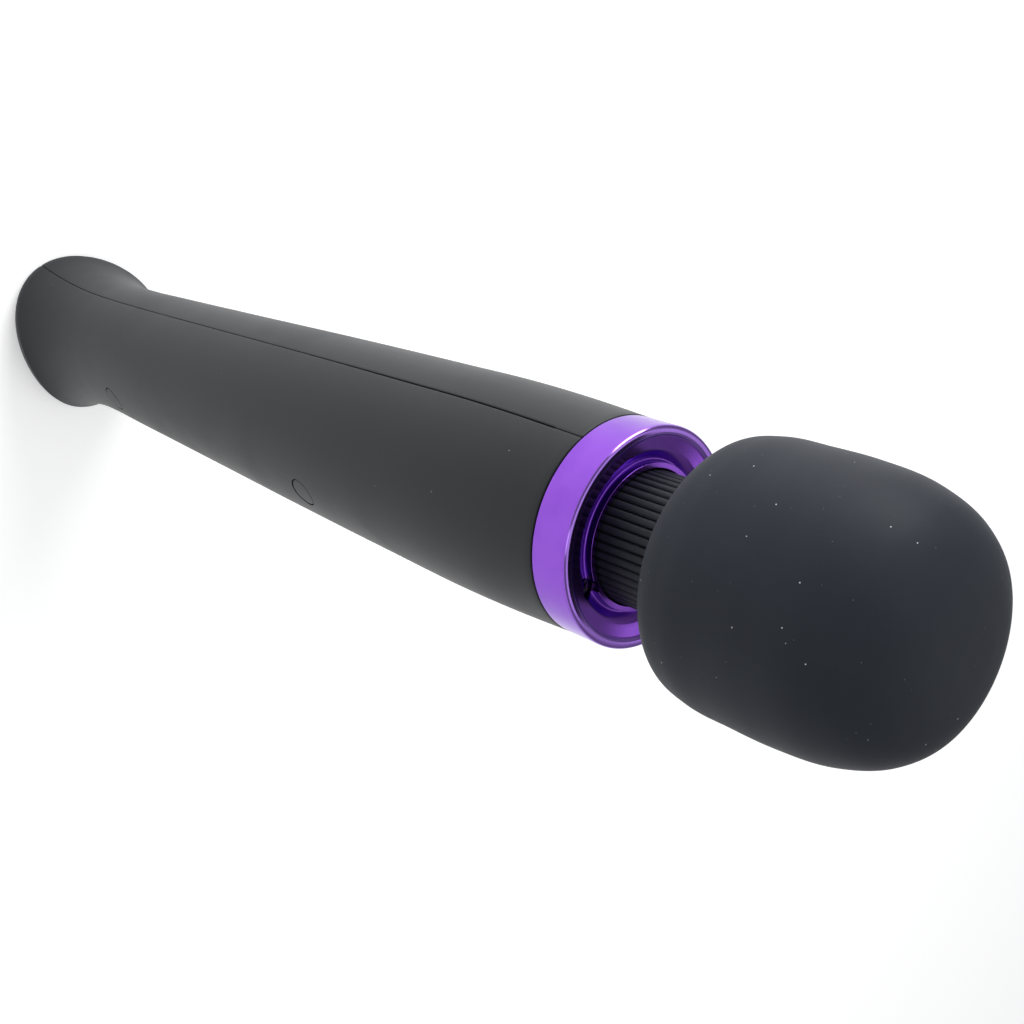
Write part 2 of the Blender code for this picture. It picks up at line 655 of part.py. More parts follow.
def main():
    """Build the whole wand."""
    clear_scene()
    parts = new_collection("wand_massager")
    cutters = new_collection("cutters")
    front_pivot = pivot_empty("neck_front_pivot", (0.0, 0.0, NECK_FRONT_Z), parts)
    side_pivot = pivot_empty("neck_side_pivot", (0.0, 0.0, NECK_SIDE_Z), parts, front_pivot)
    motor_axis = pivot_empty("motor_axis", (0.0, 0.0, CORE_SPLIT), parts, side_pivot)
    front_shell(parts, cutters)
    rear_shell(parts, cutters)
    shell_fasteners(parts)
    end_plate(parts)
    charging_jack(parts)
    battery(parts)
    circuit_board(parts, cutters)
    buttons(parts)
    fixed_leads(parts)
    collar(parts, cutters)
    neck_clamp(parts, cutters)
    neck_pieces(parts, front_pivot)
    head_shells(parts, side_pivot)
    motor_fixed(parts, side_pivot)
    motor_turning(parts, motor_axis)
    bpy.context.view_layer.update()


main()
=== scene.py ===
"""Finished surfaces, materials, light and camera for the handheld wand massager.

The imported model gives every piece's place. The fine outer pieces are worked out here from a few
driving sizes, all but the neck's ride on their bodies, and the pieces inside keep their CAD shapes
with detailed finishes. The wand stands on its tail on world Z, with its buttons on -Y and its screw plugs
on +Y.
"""

import json
import logging
import math
from dataclasses import dataclass
from enum import Enum
from typing import Callable, Dict, List, Optional, Sequence, Tuple, Union

import bmesh
import bpy
import numpy as np
from mathutils import Matrix, Vector


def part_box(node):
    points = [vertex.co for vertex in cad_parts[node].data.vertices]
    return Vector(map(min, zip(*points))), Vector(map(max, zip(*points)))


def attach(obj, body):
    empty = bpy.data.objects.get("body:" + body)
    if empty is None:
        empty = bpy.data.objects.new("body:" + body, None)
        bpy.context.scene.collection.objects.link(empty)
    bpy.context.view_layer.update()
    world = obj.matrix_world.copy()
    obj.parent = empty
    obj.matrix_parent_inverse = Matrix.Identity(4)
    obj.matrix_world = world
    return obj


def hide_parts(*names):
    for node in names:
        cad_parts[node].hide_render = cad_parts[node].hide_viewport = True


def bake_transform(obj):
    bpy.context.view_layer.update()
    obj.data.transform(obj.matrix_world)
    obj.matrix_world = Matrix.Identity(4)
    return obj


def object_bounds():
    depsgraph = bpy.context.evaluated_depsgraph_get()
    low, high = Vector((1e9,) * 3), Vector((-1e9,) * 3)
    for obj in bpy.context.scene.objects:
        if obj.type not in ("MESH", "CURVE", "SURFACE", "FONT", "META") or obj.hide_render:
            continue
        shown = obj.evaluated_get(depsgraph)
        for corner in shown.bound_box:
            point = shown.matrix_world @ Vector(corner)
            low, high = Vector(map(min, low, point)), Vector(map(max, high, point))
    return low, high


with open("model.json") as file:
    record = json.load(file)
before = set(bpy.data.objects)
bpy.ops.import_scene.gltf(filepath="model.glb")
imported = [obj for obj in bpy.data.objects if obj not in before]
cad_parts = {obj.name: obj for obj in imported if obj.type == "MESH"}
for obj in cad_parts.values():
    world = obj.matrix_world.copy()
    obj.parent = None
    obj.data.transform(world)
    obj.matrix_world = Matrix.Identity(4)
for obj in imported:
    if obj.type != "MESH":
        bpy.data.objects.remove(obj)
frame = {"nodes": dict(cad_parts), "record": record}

LOG = logging.getLogger("wand")
CAD_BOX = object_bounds()
MM = 0.001

Colour = Tuple[float, float, float]
Wave = Callable[[np.ndarray, np.ndarray, np.ndarray], np.ndarray]


# ---------------------------------------------------------------------------------------------
# Shader maths
# ---------------------------------------------------------------------------------------------

class Term:
    """A number, colour or vector inside a material, which takes part in Python arithmetic."""

    def __init__(self, graph: "Graph", socket: bpy.types.NodeSocket) -> None:
        """Wrap a node's output socket.

        Args:
            graph: The material that the socket belongs to.
            socket: The output socket.
        """
        self.graph = graph
        self.socket = socket

    def __add__(self, other: "Feed") -> "Term":
        """Return self + other."""
        return self.graph.maths("ADD", self, other)

    def __radd__(self, other: "Feed") -> "Term":
        """Return other + self."""
        return self.graph.maths("ADD", other, self)

    def __sub__(self, other: "Feed") -> "Term":
        """Return self - other."""
        return self.graph.maths("SUBTRACT", self, other)

    def __rsub__(self, other: "Feed") -> "Term":
        """Return other - self."""
        return self.graph.maths("SUBTRACT", other, self)

    def __mul__(self, other: "Feed") -> "Term":
        """Return self * other."""
        return self.graph.maths("MULTIPLY", self, other)

    def __rmul__(self, other: "Feed") -> "Term":
        """Return other * self."""
        return self.graph.maths("MULTIPLY", other, self)


Feed = Union[Term, float, Tuple[float, ...]]


class Graph:
    """One node material under construction, around a single Principled shader."""

    def __init__(self, name: str) -> None:
        """Start an empty material.

        Args:
            name: The material's name.
        """
        self.material = bpy.data.materials.new(name)
        self.material.use_nodes = True
        self.tree = self.material.node_tree
        self.tree.nodes.clear()
        self.output = self.tree.nodes.new("ShaderNodeOutputMaterial")
        self.shader = self.tree.nodes.new("ShaderNodeBsdfPrincipled")
        self.tree.links.new(self.shader.outputs[0], self.output.inputs["Surface"])

    def _plug(self, socket: bpy.types.NodeSocket, value: Feed) -> None:
        """Link a term to an input socket, or set the socket's value."""
        if isinstance(value, Term):
            self.tree.links.new(value.socket, socket)
        elif isinstance(value, tuple) and socket.type == "RGBA":
            socket.default_value = (*value[:3], 1.0)
        else:
            socket.default_value = value

    def node(self, kind: str, settings: Optional[Dict[str, object]] = None,
             inputs: Optional[Dict[Union[str, int], Feed]] = None, output: Union[str, int] = 0) -> Term:
        """Add a node of any type.

        Args:
            kind: The node's type name.
            settings: Attributes set first.
            inputs: Values or terms of its sockets, by name or number.
            output: The output socket to return.

        Returns:
            The chosen output as a term.
        """
        made = self.tree.nodes.new(kind)
        for key, value in (settings or {}).items():
            setattr(made, key, value)
        for key, value in (inputs or {}).items():
            self._plug(made.inputs[key], value)
        return Term(self, made.outputs[output])

    def maths(self, operation: str, first: Feed, second: Feed = 0.0) -> Term:
        """Return one Math node's result."""
        return self.node("ShaderNodeMath", {"operation": operation}, {0: first, 1: second})

    def vector(self, operation: str, first: Feed, second: Feed) -> Term:
        """Return one Vector Math node's vector."""
        return self.node("ShaderNodeVectorMath", {"operation": operation}, {0: first, 1: second})

    def place(self, stretch: Tuple[float, float, float] = (1.0, 1.0, 1.0)) -> Term:
        """Return Object coordinates, stretched along X, Y and Z."""
        return self.vector("MULTIPLY", self.node("ShaderNodeTexCoord", output="Object"), stretch)

    def parts(self, vector: Term) -> Tuple[Term, Term, Term]:
        """Split a vector into its X, Y and Z terms."""
        split = self.tree.nodes.new("ShaderNodeSeparateXYZ")
        self.tree.links.new(vector.socket, split.inputs[0])
        return Term(self, split.outputs[0]), Term(self, split.outputs[1]), Term(self, split.outputs[2])

    def noise(self, vector: Term, scale: float, detail: float = 2.0, roughness: float = 0.5) -> Term:
        """Return smooth noise from 0 to 1; scale counts features per metre."""
        return self.node("ShaderNodeTexNoise", None,
                         {"Vector": vector, "Scale": scale, "Detail": detail, "Roughness": roughness})

    def band(self, value: Term, low: float, high: float) -> Term:
        """Return a smooth step from 0 to 1 as value runs from low to high, which may be the lower."""
        return self.node("ShaderNodeMapRange", {"interpolation_type": "SMOOTHSTEP", "clamp": True},
                         {"Value": value, "From Min": low, "From Max": high})

    def blend(self, share: Feed, first: Feed, second: Feed) -> Term:
        """Mix two colours by a share from 0 to 1."""
        return self.node("ShaderNodeMix", {"data_type": "RGBA"}, {0: share, 6: first, 7: second}, 2)

    def specks(self, vector: Term, scale: float, size: float, kept: float) -> Term:
        """Return a mask of small scattered round specks.

        A cell pattern gives each cell one point; the speck is where the distance to that point,
        in cell widths, is under size, in the kept share of the cells.

        Args:
            vector: The coordinates.
            scale: Cells per metre.
            size: The speck's radius in cell widths.
            kept: The share of cells that have a speck.

        Returns:
            1 on a speck and 0 elsewhere.
        """
        settings = {"feature": "F1"}
        inputs = {"Vector": vector, "Scale": scale}
        distance = self.node("ShaderNodeTexVoronoi", settings, inputs, "Distance")
        chance = self.parts(self.node("ShaderNodeTexVoronoi", settings, inputs, "Color"))[0]
        near = self.band(distance, size, size * 0.6)
        return near * self.maths("LESS_THAN", chance, kept)

    def relief(self, height: Term, depth: float, strength: float = 1.0) -> None:
        """Feed a Bump node to the shader's Normal; depth is the height of 1, in metres."""
        bump = self.node("ShaderNodeBump", None,
                         {"Height": height, "Distance": depth, "Strength": strength})
        self.feed("Normal", bump)

    def feed(self, socket: str, value: Feed) -> None:
        """Link or set one of the shader's sockets."""
        self._plug(self.shader.inputs[socket], value)

    def fix(self, **sockets: Feed) -> None:
        """Set constant shader sockets, written with _ for spaces."""
        for key, value in sockets.items():
            self._plug(self.shader.inputs[key.replace("_", " ")], value)


# ---------------------------------------------------------------------------------------------
# Finishes
# ---------------------------------------------------------------------------------------------

@dataclass(frozen=True)
class SoftTouch:
    """Charcoal soft-touch paint: a faint fine grain, soft smudges and a few dust specks."""

    name: str = "soft_touch_shell"
    colour: Colour = (0.0108, 0.0124, 0.0152)
    smudge: Colour = (0.0138, 0.0155, 0.0185)
    roughness: float = 0.44
    grain: float = 6500.0

    def material(self) -> bpy.types.Material:
        """Build the material."""
        graph = Graph(self.name)
        here = graph.place()
        broad = graph.noise(here, 38.0, 3.0, 0.55)
        fine = graph.noise(here, self.grain, 1.0)
        dust = graph.specks(here, 260.0, 0.045, 0.10)
        handled = graph.band(broad, 0.42, 0.68)
        tone = graph.blend(handled, self.colour, self.smudge)
        graph.feed("Base Color", graph.blend(dust * 0.5, tone, (0.42, 0.42, 0.44)))
        graph.feed("Roughness", self.roughness + handled * 0.05 + (fine - 0.5) * 0.06)
        graph.relief(fine + dust * 0.6, 0.000012, 0.55)
        graph.fix(Specular_IOR_Level=0.27)
        return graph.material


@dataclass(frozen=True)
class Silicone:
    """Matt black silicone: a velvety grain, slight cloudiness and the dust that it attracts."""

    name: str = "head_silicone"
    colour: Colour = (0.0200, 0.0232, 0.0305)
    bloom: Colour = (0.0240, 0.0275, 0.0350)
    roughness: float = 0.52

    def material(self) -> bpy.types.Material:
        """Build the material."""
        graph = Graph(self.name)
        here = graph.place()
        cloud = graph.band(graph.noise(here, 30.0, 4.0, 0.6), 0.38, 0.7)
        fine = graph.noise(here, 5200.0, 2.0)
        dust = graph.specks(here, 400.0, 0.062, 0.26)
        lint = graph.specks(here, 620.0, 0.07, 0.20)
        tone = graph.blend(cloud, self.colour, self.bloom)
        tone = graph.blend(lint * 0.3, tone, (0.30, 0.30, 0.32))
        graph.feed("Base Color", graph.blend(dust * 0.9, tone, (0.62, 0.62, 0.62)))
        graph.feed("Roughness", self.roughness + cloud * 0.06 + (fine - 0.5) * 0.05)
        graph.relief(fine + dust * 2.0 + lint, 0.000014, 0.6)
        graph.fix(Specular_IOR_Level=0.08, Sheen_Weight=0.03, Sheen_Roughness=0.4)
        return graph.material


@dataclass(frozen=True)
class NeckRubber:
    """Satin moulded rubber, rougher and lighter in patches along the crests of the flutes, with dust specks
    all over.
    """

    name: str = "neck_rubber"
    colour: Colour = (0.0055, 0.0070, 0.0105)
    crest_colour: Colour = (0.0085, 0.0105, 0.0145)
    roughness: float = 0.46
    crest: float = 14.6 * MM

    def material(self) -> bpy.types.Material:
        """Build the material."""
        graph = Graph(self.name)
        here = graph.place()
        x, y, _ = graph.parts(here)
        reach = graph.maths("SQRT", x * x + y * y)
        # ridge is 1 on the outer half millimetre of the flutes; there the tone is lighter in patches and
        # the surface rougher, and the grooves keep the darker base colour.
        ridge = graph.band(reach, self.crest - 0.5 * MM, self.crest)
        patch = graph.noise(here, 260.0, 3.0)
        fine = graph.noise(here, 4800.0, 2.0)
        dust = graph.specks(here, 520.0, 0.07, 0.06)
        tone = graph.blend(ridge * patch, self.colour, self.crest_colour)
        graph.feed("Base Color", graph.blend(dust * 0.6, tone, (0.45, 0.46, 0.48)))
        graph.feed("Roughness", self.roughness + ridge * 0.08 + (patch - 0.5) * 0.08)
        graph.relief(fine + dust, 0.000015, 0.5)
        graph.fix(Specular_IOR_Level=0.30)
        return graph.material


@dataclass(frozen=True)
class Anodised:
    """Turned aluminium under purple anodising: fine rings from the tool, and a painted highlight on the top
    of the lip.
    """

    name: str = "anodised_collar"
    colour: Colour = (0.250, 0.084, 0.560)
    deep: Colour = (0.225, 0.072, 0.530)
    # edge is the lighter purple of a painted highlight on the top of the lip.
    edge: Colour = (0.52, 0.34, 0.86)
    roughness: float = 0.20
    lip_highlight_from: float = 269.4 * MM

    def material(self) -> bpy.types.Material:
        """Build the material.

        The tool's rings are noise read along the radius and the height only, so that each ring
        runs right round the axis.
        """
        graph = Graph(self.name)
        here = graph.place()
        x, y, z = graph.parts(here)
        reach = graph.maths("SQRT", x * x + y * y)
        turning = graph.node("ShaderNodeCombineXYZ", None, {0: reach, 1: z, 2: 0.0})
        rings = graph.noise(turning, 9000.0, 1.0)
        wide_rings = graph.noise(turning, 1400.0, 2.0)
        cloud = graph.noise(here, 160.0, 2.0)
        dye = graph.blend(graph.band(cloud, 0.35, 0.7), self.colour, self.deep)
        # From the lip's height up, the dye is blended 35% of the way to the lighter purple: a painted
        # highlight along the top of the lip.
        lip = graph.band(z, self.lip_highlight_from, self.lip_highlight_from + 0.35 * MM)
        graph.feed("Base Color", graph.blend(lip * 0.35, dye, self.edge))
        graph.feed("Metallic", 1.0)
        graph.feed("Roughness", self.roughness + (wide_rings - 0.5) * 0.10 + (cloud - 0.5) * 0.05)
        graph.relief(rings + wide_rings * 0.7, 0.0000035, 0.5)
        return graph.material


@dataclass(frozen=True)
class Steel:
    """Machined or plated steel with drawn streaks along one direction and small stains."""

    name: str = "steel"
    colour: Colour = (0.56, 0.57, 0.58)
    stain: Colour = (0.40, 0.40, 0.41)
    roughness: float = 0.28
    stretch: Tuple[float, float, float] = (1.0, 1.0, 0.06)

    def material(self) -> bpy.types.Material:
        """Build the material."""
        graph = Graph(self.name)
        streak = graph.noise(graph.place(stretch=self.stretch), 7000.0, 2.0)
        cloud = graph.noise(graph.place(), 420.0, 3.0)
        graph.feed("Base Color", graph.blend(graph.band(cloud, 0.45, 0.75), self.colour, self.stain))
        graph.feed("Metallic", 1.0)
        graph.feed("Roughness", self.roughness + (streak - 0.5) * 0.16 + (cloud - 0.5) * 0.08)
        graph.relief(streak, 0.000006, 0.5)
        return graph.material


@dataclass(frozen=True)
class Moulded:
    """Moulded plastic with spark-eroded texture and slight flow marks."""

    name: str = "abs_black"
    colour: Colour = (0.020, 0.020, 0.022)
    pale: Colour = (0.030, 0.030, 0.033)
    roughness: float = 0.44
    texture: float = 3200.0
    depth: float = 0.00003

    def material(self) -> bpy.types.Material:
        """Build the material."""
        graph = Graph(self.name)
        here = graph.place()
        flow = graph.band(graph.noise(graph.place(stretch=(1.0, 1.0, 0.3)), 90.0, 3.0), 0.35, 0.75)
        sparks = graph.noise(here, self.texture, 3.0, 0.6)
        graph.feed("Base Color", graph.blend(flow, self.colour, self.pale))
        graph.feed("Roughness", self.roughness + (sparks - 0.5) * 0.16)
        graph.relief(sparks, self.depth, 0.6)
        return graph.material


@dataclass(frozen=True)
class Machined:
    """Brass or copper with turning rings about the axis and a slight tarnish."""

    name: str = "weight_brass"
    colour: Colour = (0.66, 0.50, 0.24)
    tarnish: Colour = (0.42, 0.27, 0.12)
    roughness: float = 0.30
    winding: float = 0.0

    def material(self) -> bpy.types.Material:
        """Build the material; winding is the pitch of wound wire on it, or 0."""
        graph = Graph(self.name)
        here = graph.place()
        x, y, z = graph.parts(here)
        reach = graph.maths("SQRT", x * x + y * y)
        rings = graph.noise(graph.node("ShaderNodeCombineXYZ", None, {0: reach, 1: z, 2: 0.0}), 5200.0, 1.0)
        cloud = graph.band(graph.noise(here, 300.0, 3.0), 0.45, 0.75)
        graph.feed("Base Color", graph.blend(cloud, self.colour, self.tarnish))
        graph.feed("Metallic", 1.0)
        graph.feed("Roughness", self.roughness + cloud * 0.15 + (rings - 0.5) * 0.1)
        height = rings
        if self.winding > 0.0:
            turn = graph.maths("SINE", z * (math.tau / self.winding))
            height = rings * 0.2 + turn
        graph.relief(height, 0.00002 if self.winding > 0.0 else 0.000006, 0.7)
        return graph.material


@dataclass(frozen=True)
class SolderMask:
    """Green board lacquer over copper tracks, with tinned pads."""

    name: str = "circuit_board"
    colour: Colour = (0.012, 0.105, 0.040)
    track: Colour = (0.025, 0.170, 0.070)
    tin: Colour = (0.62, 0.62, 0.60)
    pitch: float = 2.2 * MM

    def material(self) -> bpy.types.Material:
        """Build the material.

        Tracks are where a coordinate, bent by noise, is near a multiple of the pitch; pads are
        round specks on a finer cell pattern.
        """
        graph = Graph(self.name)
        here = graph.place()
        x, _, z = graph.parts(here)
        bend = graph.noise(here, 110.0, 1.0) * 0.003
        lane = graph.maths("PINGPONG", x + bend, self.pitch)
        cross = graph.maths("PINGPONG", z + bend, self.pitch * 2.5)
        along, across = graph.band(lane, 0.35 * MM, 0.25 * MM), graph.band(cross, 0.3 * MM, 0.2 * MM)
        tracks = graph.maths("MAXIMUM", along, across)
        pads = graph.specks(here, 330.0, 0.2, 0.3)
        tone = graph.blend(tracks, self.colour, self.track)
        graph.feed("Base Color", graph.blend(pads, tone, self.tin))
        graph.feed("Metallic", pads * 0.9)
        graph.feed("Roughness", 0.34 + pads * 0.05 + graph.noise(here, 2500.0) * 0.08)
        graph.relief(tracks * 0.4 + pads, 0.00004, 0.8)
        graph.fix(Coat_Weight=0.4, Coat_Roughness=0.2)
        return graph.material


@dataclass(frozen=True)
class Wrapped:
    """Heat-shrunk film or wire insulation: glossy, with soft wrinkles along one direction."""

    name: str = "cell_wrap"
    colour: Colour = (0.05, 0.14, 0.34)
    pale: Colour = (0.09, 0.20, 0.42)
    roughness: float = 0.26

    def material(self) -> bpy.types.Material:
        """Build the material."""
        graph = Graph(self.name)
        wrinkle = graph.noise(graph.place(stretch=(1.0, 1.0, 0.12)), 700.0, 2.0)
        cloud = graph.noise(graph.place(), 90.0, 2.0)
        graph.feed("Base Color", graph.blend(graph.band(cloud, 0.35, 0.7), self.colour, self.pale))
        graph.feed("Roughness", self.roughness + (wrinkle - 0.5) * 0.12)
        graph.relief(wrinkle, 0.00003, 0.5)
        return graph.material


@dataclass(frozen=True)
class Card:
    """Fibre card: a felted, mottled surface."""

    name: str = "insulator_card"
    colour: Colour = (0.50, 0.43, 0.26)
    pale: Colour = (0.62, 0.55, 0.36)

    def material(self) -> bpy.types.Material:
        """Build the material."""
        graph = Graph(self.name)
        here = graph.place()
        fibres = graph.noise(graph.place(stretch=(0.25, 1.0, 1.0)), 5200.0, 3.0, 0.65)
        mottle = graph.noise(here, 900.0, 3.0)
        graph.feed("Base Color", graph.blend(graph.band(mottle, 0.35, 0.7), self.colour, self.pale))
        graph.feed("Roughness", 0.82 + (fibres - 0.5) * 0.15)
        graph.relief(fibres, 0.00003, 0.8)
        return graph.material


@dataclass(frozen=True)
class ClearMoulding:
    """A clear light pipe, faintly frosted with moulding haze."""

    name: str = "light_pipe"
    colour: Colour = (0.80, 0.84, 0.88)

    def material(self) -> bpy.types.Material:
        """Build the material."""
        graph = Graph(self.name)
        here = graph.place()
        haze = graph.noise(here, 1500.0, 3.0)
        graph.feed("Base Color", graph.blend(haze, self.colour, (0.66, 0.71, 0.77)))
        graph.feed("Roughness", 0.10 + haze * 0.14)
        graph.relief(haze, 0.00001, 0.5)
        graph.fix(Transmission_Weight=0.55, IOR=1.49)
        return graph.material


class Slot(Enum):
    """The record's material slots, each with its finish."""

    SHELL = SoftTouch()
    SILICONE = Silicone()
    NECK = NeckRubber()
    COLLAR = Anodised()
    STEEL = Steel()
    DARK_STEEL = Steel("dark_steel", (0.10, 0.10, 0.105), (0.05, 0.05, 0.05), 0.34)
    BLACK = Moulded()
    GREY = Moulded("abs_grey", (0.19, 0.20, 0.21), (0.24, 0.25, 0.26), 0.5)
    DAMPER = Moulded("damper_rubber", (0.012, 0.012, 0.012), (0.022, 0.022, 0.022), 0.75, 1800.0, 0.00005)
    WEIGHT = Machined()
    COPPER = Machined("copper", (0.70, 0.30, 0.13), (0.45, 0.16, 0.06), 0.26, 0.0009)
    FERRITE = Moulded("ferrite", (0.045, 0.045, 0.05), (0.07, 0.07, 0.075), 0.55, 2600.0, 0.00002)
    BOARD = SolderMask()
    CELL = Wrapped()
    RED = Wrapped("red_lead", (0.42, 0.012, 0.012), (0.55, 0.03, 0.03), 0.32)
    BLACK_LEAD = Wrapped("black_lead", (0.012, 0.012, 0.012), (0.024, 0.024, 0.024), 0.34)
    LIGHT = ClearMoulding()
    CARD = Card()


class Wardrobe:
    """Makes each finish once and puts it on pieces and CAD nodes."""

    def __init__(self) -> None:
        """Start with nothing made."""
        self.made: Dict[str, bpy.types.Material] = {}

    def finish(self, slot: Slot) -> bpy.types.Material:
        """Return a slot's material, built on first use."""
        name = slot.value.name
        if name not in self.made:
            self.made[name] = slot.value.material()
        return self.made[name]

    def dress(self, piece: bpy.types.Object, slot: Slot) -> None:
        piece.data.materials.clear()
        piece.data.materials.append(self.finish(slot))

    def dress_nodes(self, replaced: Sequence[str]) -> int:
        """Give every CAD node that still shows the finish of its record slot.

        Args:
            replaced: Nodes that a finer piece stands for.

        Returns:
            How many nodes were dressed.
        """
        by_name = {slot.value.name: slot for slot in Slot}
        count = 0
        for entry in frame["record"]["subparts"]:
            if entry["node"] in replaced:
                continue
            node = frame["nodes"][entry["node"]]
            material = self.finish(by_name[entry["material_slot"]])
            if not node.material_slots:
                node.data.materials.append(material)
            for holder in node.material_slots:
                holder.material = material
            count += 1
        return count


# ---------------------------------------------------------------------------------------------
# Surfaces
# ---------------------------------------------------------------------------------------------

def hermite(at: np.ndarray, knots: np.ndarray, values: np.ndarray) -> np.ndarray:
    """Interpolate smoothly through knots that rise.

    Each span is the cubic with the knots' values at its ends and the weighted mean of the
    neighbouring slopes as its end slopes.

    Args:
        at: Where to read the curve.
        knots: Increasing positions.
        values: The curve's values there.

    Returns:
        The curve at each position.
    """
    step = np.diff(knots)
    slope = np.diff(values) / step
    inner = (slope[:-1] * step[1:] + slope[1:] * step[:-1]) / (step[:-1] + step[1:])
    tangent = np.concatenate([slope[:1], inner, slope[-1:]])
    i = np.clip(np.searchsorted(knots, at, side="right") - 1, 0, len(step) - 1)
    t = (at - knots[i]) / step[i]
    h00 = (1.0 + 2.0 * t) * (1.0 - t) ** 2
    h10 = t * (1.0 - t) ** 2
    h01 = t * t * (3.0 - 2.0 * t)
    h11 = t * t * (t - 1.0)
    start = h00 * values[i] + h10 * step[i] * tangent[i]
    return start + h01 * values[i + 1] + h11 * step[i] * tangent[i + 1]


def filleted(corners: Sequence[Tuple[float, float, float]], closed: bool, arc: int = 6) -> np.ndarray:
    """Round the corners of an outline.

    At each corner the fillet of radius f is the circular arc tangent to both sides: it starts
    f / tan(half the corner's angle) from the corner and turns by the outside angle.

    Args:
        corners: (radius, height, fillet) in millimetres.
        closed: Whether the last corner joins the first.
        arc: Segments in each fillet.

    Returns:
        The outline's points in metres.
    """
    points: List[np.ndarray] = []
    count = len(corners)
    for i, (radius, height, fillet) in enumerate(corners):
        here = np.array([radius, height])
        if fillet <= 0.0 or (not closed and i in (0, count - 1)):
            points.append(here[None, :])
            continue
        before = np.array(corners[i - 1][:2]) - here
        after = np.array(corners[(i + 1) % count][:2]) - here
        u, v = before / np.linalg.norm(before), after / np.linalg.norm(after)
        half = 0.5 * math.acos(float(np.clip(u @ v, -1.0, 1.0)))
        reach = min(fillet / math.tan(half), 0.49 * np.linalg.norm(before), 0.49 * np.linalg.norm(after))
        size = reach * math.tan(half)
        middle = here + (u + v) / np.linalg.norm(u + v) * size / math.sin(half)
        start, end = here + u * reach - middle, here + v * reach - middle
        share = np.linspace(0.0, 1.0, arc + 1)[:, None]
        swing = math.pi - 2.0 * half
        mixed = (np.sin((1.0 - share) * swing) * start + np.sin(share * swing) * end) / math.sin(swing)
        points.append(middle + mixed)
    return np.concatenate(points) * MM


def refined(points: np.ndarray, longest: float, closed: bool) -> np.ndarray:
    """Split an outline's long sides into equal pieces no longer than a length."""
    ends = np.roll(points, -1, axis=0) if closed else points[1:]
    starts = points if closed else points[:-1]
    pieces = []
    for a, b in zip(starts, ends):
        count = max(1, int(math.ceil(np.linalg.norm(b - a) / longest)))
        pieces.append(a + (b - a) * np.linspace(0.0, 1.0, count, endpoint=False)[:, None])
    if not closed:
        pieces.append(points[-1:])
    return np.concatenate(pieces)


def grid_faces(rows: int, columns: int, wrap_rows: bool, wrap_columns: bool) -> np.ndarray:
    """Return the four corners of each face of a grid of rows by columns of points."""
    i = np.arange(rows if wrap_rows else rows - 1)[:, None]
    j = np.arange(columns if wrap_columns else columns - 1)[None, :]
    here, down, right = i * columns, (i + 1) % rows * columns, (j + 1) % columns
    corners = np.stack([here + j, here + right, down + right, down + j], -1)
    return corners.reshape(-1, 4)


def rings_of(pairs: Sequence[Tuple[float, float]], angle: np.ndarray) -> np.ndarray:
    """Return one ring of points about Z for each (radius, height), as rows by angles by 3."""
    pair = np.array(pairs)[:, :, None]
    radius, height = pair[:, 0], pair[:, 1]
    return np.stack([radius * np.cos(angle), radius * np.sin(angle), height + 0.0 * angle], -1)


def solid(name: str, points: np.ndarray, faces: List[Sequence[int]],
          sharp: float = 35.0) -> bpy.types.Object:
    """Make a closed, smooth-shaded object from points and faces.

    Doubles and collapsed faces at poles are merged and the faces are turned outwards.

    Args:
        name: The object's name.
        points: An array of corners, in metres.
        faces: Lists of corner numbers.
        sharp: Edges that turn by more than this many degrees stay sharp.

    Returns:
        The object, linked to the scene.
    """
    mesh = bpy.data.meshes.new(name)
    mesh.from_pydata(points.reshape(-1, 3).tolist(), [], faces)
    build = bmesh.new()
    build.from_mesh(mesh)
    bmesh.ops.remove_doubles(build, verts=build.verts, dist=2e-7)
    bmesh.ops.dissolve_degenerate(build, edges=build.edges, dist=1e-8)
    bmesh.ops.recalc_face_normals(build, faces=build.faces)
    build.to_mesh(mesh)
    build.free()
    mesh.shade_smooth()
    mesh.set_sharp_from_angle(angle=math.radians(sharp))
    piece = bpy.data.objects.new(name, mesh)
    bpy.context.scene.collection.objects.link(piece)
    return piece


def turned(name: str, outline: np.ndarray, steps: int, closed: bool = False, sharp: float = 35.0,
           wave: Optional[Wave] = None) -> bpy.types.Object:
    """Turn an outline of (radius, height) about Z.

    The point for an outline point (r, z) and an angle a is (r cos a, r sin a, z). Where wave is
    given, it returns the radius to use from the radius, the height and the angle.

    Args:
        name: The piece's name.
        outline: Points in metres; an open outline starts and ends on the axis.
        steps: How many columns go round.
        closed: Whether the outline is a loop, which makes a ring.
        sharp: The sharp-edge angle in degrees.
        wave: An optional change of radius around the axis.

    Returns:
        The piece.
    """
    angle = np.linspace(0.0, math.tau, steps, endpoint=False)[None, :]
    radius = outline[:, 0][:, None] + 0.0 * angle
    height = outline[:, 1][:, None] + 0.0 * angle
    if wave is not None:
        radius = wave(radius, height, angle)
    points = np.stack([radius * np.cos(angle), radius * np.sin(angle), height], -1)
    faces = grid_faces(len(outline), steps, closed, True)
    return solid(name, points, faces.tolist(), sharp)


def aim(piece: bpy.types.Object, matrix: Matrix) -> bpy.types.Object:
    """Move a piece's mesh by a matrix and leave its object at the origin."""
    piece.data.transform(matrix)
    piece.data.update()
    return piece


def along_y(name: str, outline: np.ndarray, steps: int, centre: Sequence[float],
            sign: float) -> bpy.types.Object:
    """Turn an outline and point its axis along +Y or -Y, with its height measured from a centre."""
    piece = turned(name, outline, steps)
    turn = Matrix.Rotation(-sign * math.pi / 2.0, 4, "X")
    return aim(piece, Matrix.Translation(Vector(centre)) @ turn)


